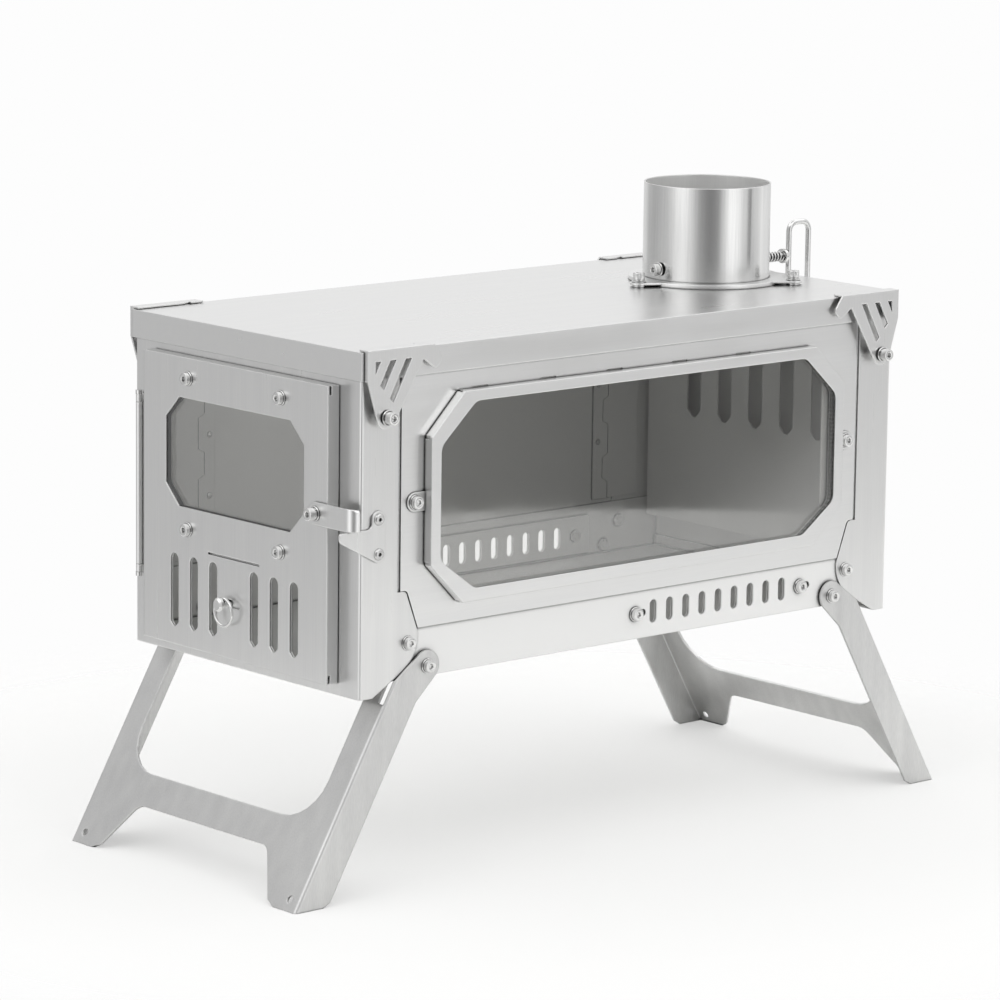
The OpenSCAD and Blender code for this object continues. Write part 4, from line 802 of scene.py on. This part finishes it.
# Leg frames: a duller sheet, mottled with short strokes along the legs
LEG_SHEET = rolled_sheet(
    "stainless_leg_sheet", "#E0E0DF", "#C6C6C6", "Z", 0.38, grain=1.4, wave=0.1, stroke=LEG_STROKE
)
# Rolled and welded tube: glossier, its grain upright, so that bright and dark bands stand on it
COLLAR_TUBE = rolled_sheet(
    "stainless_flue_tube", "#E8E8E7", "#D0D0D0", "Z", 0.2, grain=0.8, wave=0.3
)
# Sheets inside the firebox: matt and painted pale as light, with painted shade at their edges where they
# lap
INNER_SHEET = rolled_sheet(
    "stainless_inner_sheet", "#D8D8D7", "#C4C4C4", "Y", 0.36, seam_shade=LAP_DEPTH, **CALM
)
# Turned A2 screws, washers, nuts and spacers: bright edges against painted shade in sockets and knurls
FASTENER = bright_steel("a2_stainless_screws", "#F2F2F1", "#CECECE", 0.12)
# Pressed rivets: greyer and softer than the screws, with a broad highlight on the dome
RIVET = bright_steel("stainless_rivets", "#DDDDDC", "#B8B8B8", 0.22)
# Drawn wire: bright along its length, with wider dints from the bending
WIRE = bright_steel("drawn_stainless_wire", "#EDEDEC", "#CDCDCD", 0.13, dint=0.8)
# Turned knob: a satin gloss that blurs the studio to a few soft bands
KNOB = bright_steel("turned_stainless_knob", "#F0F0EF", "#D6D6D6", 0.2)
# Pane: nearly clear, so that the pale inside shows through it as grey, under a mirrored studio
CERAMIC_GLASS = ceramic_pane("clear_ceramic_glass", "#F8F8F7", "#F2F2F1")
# Gasket: a matt grey rim round the pane, lighter where the yarns cross
GASKET = woven_glass_tape("woven_glass_gasket", "#A2A29F", "#6A6A68")

DRESS = {
    LID_SHEET: ["lid"],
    BODY_SHEET_UPRIGHT: [
        "front_pan", "rear_pan", "door_pan", "latch_arm", "latch_catch", "hinge_lugs",
        "clip_front_near", "clip_front_far", "clip_rear_near", "clip_rear_far", "door_retainer",
        "slide_rails",
    ],
    BODY_SHEET_LENGTHWISE: [
        "window_panel", "far_panel", "window_frame", "flue_flange", "near_air_slide",
        "far_air_slide",
    ],
    TRAY_SHEET_PAINTED_GREYER: ["bottom_tray"],
    SLIDE_SHEET_PAINTED_LIGHT: ["door_air_slide"],
    INNER_SHEET: ["rear_baffle", "pan_hinge_leaves", "panel_hinge_leaves", "damper_plate"],
    LEG_SHEET: ["front_leg", "rear_leg"],
    COLLAR_TUBE: ["flue_collar"],
    FASTENER: ["flange_spacers", "leg_spacers", "clip_spacers", "damper_washer"],
    WIRE: ["damper_shaft", "hinge_pin"],
    KNOB: ["air_knob"],
    CERAMIC_GLASS: ["window_glass", "door_glass"],
    GASKET: ["window_gasket"],
}


def dress_nodes():
    """Gives each CAD node that stays its finish. Its mesh and its place stay as they are."""
    for material, names in DRESS.items():
        for name in names:
            slots = nodes[name].data.materials
            slots.clear()
            slots.append(material)


# Places of the fasteners, in millimetres in the CAD's frame. A screw's place is where its washer sits.

FORWARD = (0.0, -1.0, 0.0)
UPWARD = (0.0, 0.0, 1.0)
DAMPER_Z = 313.3
EAR_CIRCLE_R = 54.5
EAR_TOP_Z = 306.8
EAR_TURNS = [math.radians(a) for a in (-90, 30, 150)]
WINDOW_SCREWS = [(101.9, y, 218.2) for y in (-166.0, 166.0)]
GUSSET_SCREWS = four_corners(100.9, 169.6, 139.9)
LEG_PIVOTS = four_corners(102.9, 157.0, 125.8)
CLIP_SCREWS = four_corners(107.2, 190.3, 268.0)
FLANGE_SCREWS = [
    (EAR_CIRCLE_R * math.cos(a), FLUE_Y + EAR_CIRCLE_R * math.sin(a), EAR_TOP_Z) for a in EAR_TURNS
]
DOOR_SCREWS = [(x, -212.0, z) for x in (-41.6, 41.6) for z in (186.5, 272.5)]
LATCH_SCREW = [(74.0, -213.8, 213.1)]
NEAR_SLIDE_SCREWS = [(100.1, y, 134.1) for y in (0.96, 132.44)]
FAR_SLIDE_SCREWS = [(-x, y, z) for x, y, z in NEAR_SLIDE_SCREWS]
DAMPER_SCREW = [(0.0, 107.92, DAMPER_Z)]


def add_screws():
    """Socket screws in place of the CAD's plain ones. The number is what each clamps between its washer
    and its nut, in millimetres. The damper's screw is tapped into the shaft, so it has no nut."""
    screw_set(
        "window_cap_screws", "window_screws", "body", WINDOW_SCREWS, outwards(WINDOW_SCREWS), 3.0,
        low_head=True,
    )
    screw_set(
        "gusset_cap_screws", "gusset_screws", "body", GUSSET_SCREWS, outwards(GUSSET_SCREWS), 2.0,
        low_head=True,
    )
    screw_set(
        "leg_pivot_cap_screws", "leg_pivot_screws", "body", LEG_PIVOTS, outwards(LEG_PIVOTS), 4.0,
        low_head=True,
    )
    screw_set("clip_cap_screws", "clip_screws", "body", CLIP_SCREWS, outwards(CLIP_SCREWS), 7.3)
    screw_set("flange_cap_screws", "flange_screws", "body", FLANGE_SCREWS, [UPWARD] * 3, 3.7)
    screw_set(
        "door_cap_screws", "door_screws", "door", DOOR_SCREWS, [FORWARD] * 4, 5.0, low_head=True
    )
    screw_set("latch_cap_screw", "latch_screw", "door", LATCH_SCREW, [FORWARD], 2.8)
    for body, places in (("near_slide", NEAR_SLIDE_SCREWS), ("far_slide", FAR_SLIDE_SCREWS)):
        screw_set(
            f"{body}_cap_screws", f"{body}_screws", body, places, outwards(places), 2.5,
            low_head=True,
        )
    screw_set(
        "damper_cap_screw", "damper_end_screw", "damper", DAMPER_SCREW, [FORWARD], 0.0, nut=False
    )


# Rivets and wire, in millimetres

# Profiles of a blind rivet, radius and height: its open dome, and its swollen tail behind the sheets
BLIND_RIVET_HEAD = [
    (0.9, -2.0), (3.4, -0.02), (3.4, 0.1), (3.25, 0.55), (2.85, 1.0), (2.3, 1.32), (1.75, 1.48),
    (1.35, 1.5), (1.1, 1.38), (0.95, 1.1), (0.9, 0.4),
]
BLIND_RIVET_TAIL = [
    (0.9, -4.1), (2.1, -4.1), (2.5, -3.8), (2.5, -2.9), (2.1, -2.5), (1.6, -2.5), (1.6, 0.1),
    (0.9, 0.1),
]
BLIND_RIVET_SIDES = 48
BLIND_RIVET_TAIL_SIDES = 32
CATCH_RIVETS = [(102.4, -192.0, z) for z in (211.6, 192.3)]
LEAF_RIVET_R = 2.0
LEAF_RIVET_H = 0.8
LEAF_RIVET_ROWS = 8
LEAF_RIVET_SIDES = 24
LEAF_RIVETS = [
    (x, y, z) for x in (-98.9, 98.9) for y in (-152.1, 152.1) for z in (191.0, 227.0, 263.0, 299.0)
]
# The damper's spring starts a small gap off the flue tube
FLUE_OUTER_R = 38.0
SPRING_GAP = 0.4
SPRING_TURNS = 10
SPRING_PITCH = 2.39
SPRING_R = 2.7
SPRING_WIRE_R = 0.45
SPRING_POINTS_PER_TURN = 32
SPRING_SIDES = 12
PULL_RING_MIDDLE = (-4.425, -215.6, 145.5)
PULL_RING_R = 7.8
PULL_RING_WIRE_R = 0.9
PULL_RING_POINTS = 96
PULL_RING_SIDES = 20


def add_rivets():
    """Dome rivets, their profiles turned about the axis: open ones that hold the latch catch, and small
    closed ones on the hinge leaves, quarter ellipses that point into the firebox."""
    blind_rivet = [
        Skin().grid(lathe(BLIND_RIVET_HEAD, BLIND_RIVET_SIDES), wrap_rows=True),
        Skin().grid(lathe(BLIND_RIVET_TAIL, BLIND_RIVET_TAIL_SIDES), wrap_rows=True),
    ]
    placed = [skin.placed(place, (1.0, 0.0, 0.0)) for place in CATCH_RIVETS for skin in blind_rivet]
    make_piece("catch_pop_rivets", placed, RIVET, "body", "catch_rivets")
    a = np.linspace(0, math.pi / 2, LEAF_RIVET_ROWS)[:-1]
    profile = np.stack([LEAF_RIVET_R * np.cos(a), LEAF_RIVET_H * np.sin(a)], 1)
    dome = Skin().grid(lathe(profile, LEAF_RIVET_SIDES), cap_first=True, cap_last=True)
    placed = [dome.placed(place, (-math.copysign(1, place[0]), 0.0, 0.0)) for place in LEAF_RIVETS]
    make_piece("hinge_leaf_rivets", placed, RIVET, "body", "hinge_rivets")


def add_wire_parts():
    """The damper's spring, a round wire on a helix, and the pull ring, a round wire bent to a circle."""
    a = np.linspace(0, math.tau * SPRING_TURNS, SPRING_TURNS * SPRING_POINTS_PER_TURN + 1)
    start = FLUE_Y + FLUE_OUTER_R + SPRING_GAP + SPRING_WIRE_R
    helix = np.stack(
        [
            SPRING_R * np.cos(a), start + SPRING_PITCH * a / math.tau,
            DAMPER_Z + SPRING_R * np.sin(a),
        ],
        -1,
    )
    spring = Skin().grid(tube(helix, SPRING_WIRE_R, SPRING_SIDES), cap_first=True, cap_last=True)
    make_piece("damper_coil_spring", [spring], WIRE, "damper", "damper_spring")
    a = np.arange(PULL_RING_POINTS) * math.tau / PULL_RING_POINTS
    circle = np.stack([PULL_RING_R * np.cos(a), np.zeros_like(a), PULL_RING_R * np.sin(a)], -1)
    wire = tube(circle + PULL_RING_MIDDLE, PULL_RING_WIRE_R, PULL_RING_SIDES, closed=True)
    ring = Skin().grid(wire, wrap_rows=True)
    make_piece("pull_wire_ring", [ring], WIRE, "ring", "pull_ring")


# Studio

# Grey of the studio seen from the stove, by the angle in degrees from the camera towards its right: a
# bright softbox on either side of the camera, the dark room behind it, greyer walls at its left, and
# paler ones at its right and behind the stove
STUDIO_TURNS = [
    (-180, "#D8D8D8"), (-155, "#CCCCCC"), (-128, "#B2B2B2"), (-112, "#A8A8A8"), (-97, "#B4B4B4"),
    (-83, "#B8B8B8"), (-69, "#D6D6D6"), (-57, "#F4F4F4"), (-46, "#FFFFFF"), (-35, "#EEEEEE"),
    (-25, "#C2C2C2"), (-13, "#929292"), (4, "#787878"), (17, "#868686"), (29, "#CCCCCC"),
    (42, "#FFFFFF"), (55, "#F4F4F4"), (68, "#CACACA"), (83, "#D6D6D6"), (100, "#CACACA"),
    (116, "#E2E2E2"), (133, "#DADADA"), (156, "#D0D0D0"),
]
# Overhead: a white ceiling and a greyer middle. A range is the sine of the elevation where the one
# before ends and where the next has taken over.
CEILING = "#FFFFFF"
CEILING_RANGE = (0.4, 0.8)
ZENITH = "#B4B4B4"
ZENITH_RANGE = (0.84, 0.97)
STUDIO_LIGHT = 1.3
# How many times brighter the ceiling is than the rest of the studio
OVERHEAD = 1.3
# The room's dark doorway, mirrored in the side window just above the edge of the floor: its azimuth,
# elevation and radius in degrees, its grey, and how soft its edge is as a share of its radius
DOORWAY = (41.3, -6.3, 5.2)
DOORWAY_TONE = "#565656"
DOORWAY_SOFTNESS = 0.15
# What the camera sees in place of the studio
PALE_WALL = "#FDFDFD"
# The floor's reach towards the doorway and on the other sides, and how narrow the far part is
FLOOR_TONE = "#F4F4F3"
FLOOR_R = 1136.0
FLOOR_NEAR_R = 560.0
FLOOR_NARROWING = 1.5
FLOOR_POINTS = 96
# Just under the feet
FLOOR_Z = -0.05
# Where the floor starts and ends to fade, and how much of the wall's tone the camera sees all over it,
# which softens the shadow
FADE_START_R = 330.0
FADE_END_R = 545.0
FLOOR_VEIL = 0.35


def light_studio():
    """The world: greys by azimuth near the horizon, a bright ceiling above, and a dark doorway. The
    camera sees a plain pale wall in its place."""
    world = bpy.data.worlds.new("soft_studio")
    bpy.context.scene.world = world
    world.use_nodes = True
    tree = world.node_tree
    tree.nodes.clear()
    place = add(tree, "ShaderNodeTexCoord").outputs["Generated"]
    way = add(tree, "ShaderNodeSeparateXYZ", [("Vector", place)])
    turn = add(
        tree, "ShaderNodeMath",
        [(0, way.outputs["Y"]), (1, way.outputs["X"])],
        operation="ARCTAN2",
    )
    share = add(
        tree, "ShaderNodeMapRange",
        [("Value", turn.outputs[0]), ("From Min", -math.pi), ("From Max", math.pi)],
    )
    ring = add(tree, "ShaderNodeValToRGB", [("Fac", share.outputs["Result"])])
    camera_turn = CAMERA_AZIMUTH - 90
    stops = sorted((((camera_turn + t + 180) % 360) / 360, c) for t, c in STUDIO_TURNS)
    ramp = ring.color_ramp
    ramp.interpolation = "EASE"
    ramp.elements[0].position, ramp.elements[0].color = stops[0][0], colour(stops[0][1])
    ramp.elements[1].position, ramp.elements[1].color = stops[-1][0], colour(stops[-1][1])
    for position, code in stops[1:-1]:
        ramp.elements.new(position).color = colour(code)
    az, el, radius = (math.radians(a) for a in DOORWAY)
    towards = (math.cos(az) * math.cos(el), math.sin(az) * math.cos(el), math.sin(el))
    facing = add(
        tree, "ShaderNodeVectorMath", [(0, place), (1, towards)],
        operation="DOT_PRODUCT",
    )
    edge = [math.cos(radius * (1 + DOORWAY_SOFTNESS)), math.cos(radius * (1 - DOORWAY_SOFTNESS))]
    view = ring.outputs["Color"]
    shares = []
    for level, limits, code in (
        (way.outputs["Z"], CEILING_RANGE, CEILING),
        (way.outputs["Z"], ZENITH_RANGE, ZENITH),
        (facing.outputs["Value"], edge, DOORWAY_TONE),
    ):
        share = add(
            tree, "ShaderNodeMapRange",
            [("Value", level), ("From Min", limits[0]), ("From Max", limits[1])],
            interpolation_type="SMOOTHSTEP",
        ).outputs["Result"]
        shares.append(share)
        mixed = add(
            tree, "ShaderNodeMix",
            [("Factor", share), (COLOUR_A, view), (COLOUR_B, colour(code))],
            data_type="RGBA",
        )
        view = mixed.outputs[COLOUR_OUT]
    power = add(
        tree, "ShaderNodeMapRange",
        [("Value", shares[0]), ("To Min", STUDIO_LIGHT), ("To Max", STUDIO_LIGHT * OVERHEAD)],
    )
    lamp = add(
        tree, "ShaderNodeBackground",
        [("Color", view), ("Strength", power.outputs["Result"])],
    )
    wall = add(tree, "ShaderNodeBackground", [("Strength", 1.0), ("Color", colour(PALE_WALL))])
    ray = add(tree, "ShaderNodeLightPath")
    both = add(
        tree, "ShaderNodeMixShader",
        [("Fac", ray.outputs["Is Camera Ray"]), (1, lamp.outputs[0]), (2, wall.outputs[0])],
    )
    add(tree, "ShaderNodeOutputWorld", [("Surface", both.outputs[0])])
    bpy.context.scene.view_settings.view_transform = "Standard"


def lay_floor():
    """A plain pale matt floor. Its rim's radius is the near reach, and swells to the far one round the
    doorway's azimuth as a power of the cosine. To the camera it fades into the pale wall's tone."""
    a = np.arange(FLOOR_POINTS) * math.tau / FLOOR_POINTS
    swell = np.maximum(np.cos(a - math.radians(DOORWAY[0])), 0.0) ** FLOOR_NARROWING
    r = FLOOR_NEAR_R + (FLOOR_R - FLOOR_NEAR_R) * swell
    rim = np.stack([r * np.cos(a), r * np.sin(a), np.full_like(a, FLOOR_Z)], -1) * MM
    mesh = bpy.data.meshes.new("studio_floor")
    mesh.from_pydata(rim.tolist(), [], [list(range(FLOOR_POINTS))])
    material, tree = new_finish("matt_white_floor")
    place = add(tree, "ShaderNodeTexCoord").outputs["Object"]
    far = add(tree, "ShaderNodeVectorMath", [(0, place)], operation="LENGTH")
    fade = add(
        tree, "ShaderNodeMapRange",
        [
            ("Value", far.outputs["Value"]), ("From Min", FADE_START_R * MM),
            ("From Max", FADE_END_R * MM), ("To Min", FLOOR_VEIL), ("To Max", 1.0),
        ],
        interpolation_type="SMOOTHSTEP",
    )
    ray = add(tree, "ShaderNodeLightPath")
    seen = add(
        tree, "ShaderNodeMath",
        [(0, fade.outputs["Result"]), (1, ray.outputs["Is Camera Ray"])],
        operation="MULTIPLY",
    )
    matt = add(
        tree, "ShaderNodeBsdfDiffuse", [("Roughness", 0.6), ("Color", colour(FLOOR_TONE))]
    )
    clear = add(tree, "ShaderNodeBsdfTransparent")
    both = add(
        tree, "ShaderNodeMixShader",
        [("Fac", seen.outputs[0]), (1, matt.outputs[0]), (2, clear.outputs[0])],
    )
    add(tree, "ShaderNodeOutputMaterial", [("Surface", both.outputs[0])])
    mesh.materials.append(material)
    floor = bpy.data.objects.new("studio_floor", mesh)
    bpy.context.scene.collection.objects.link(floor)


set_camera()
light_studio()
lay_floor()
dress_nodes()
add_screws()
add_rivets()
add_wire_parts()
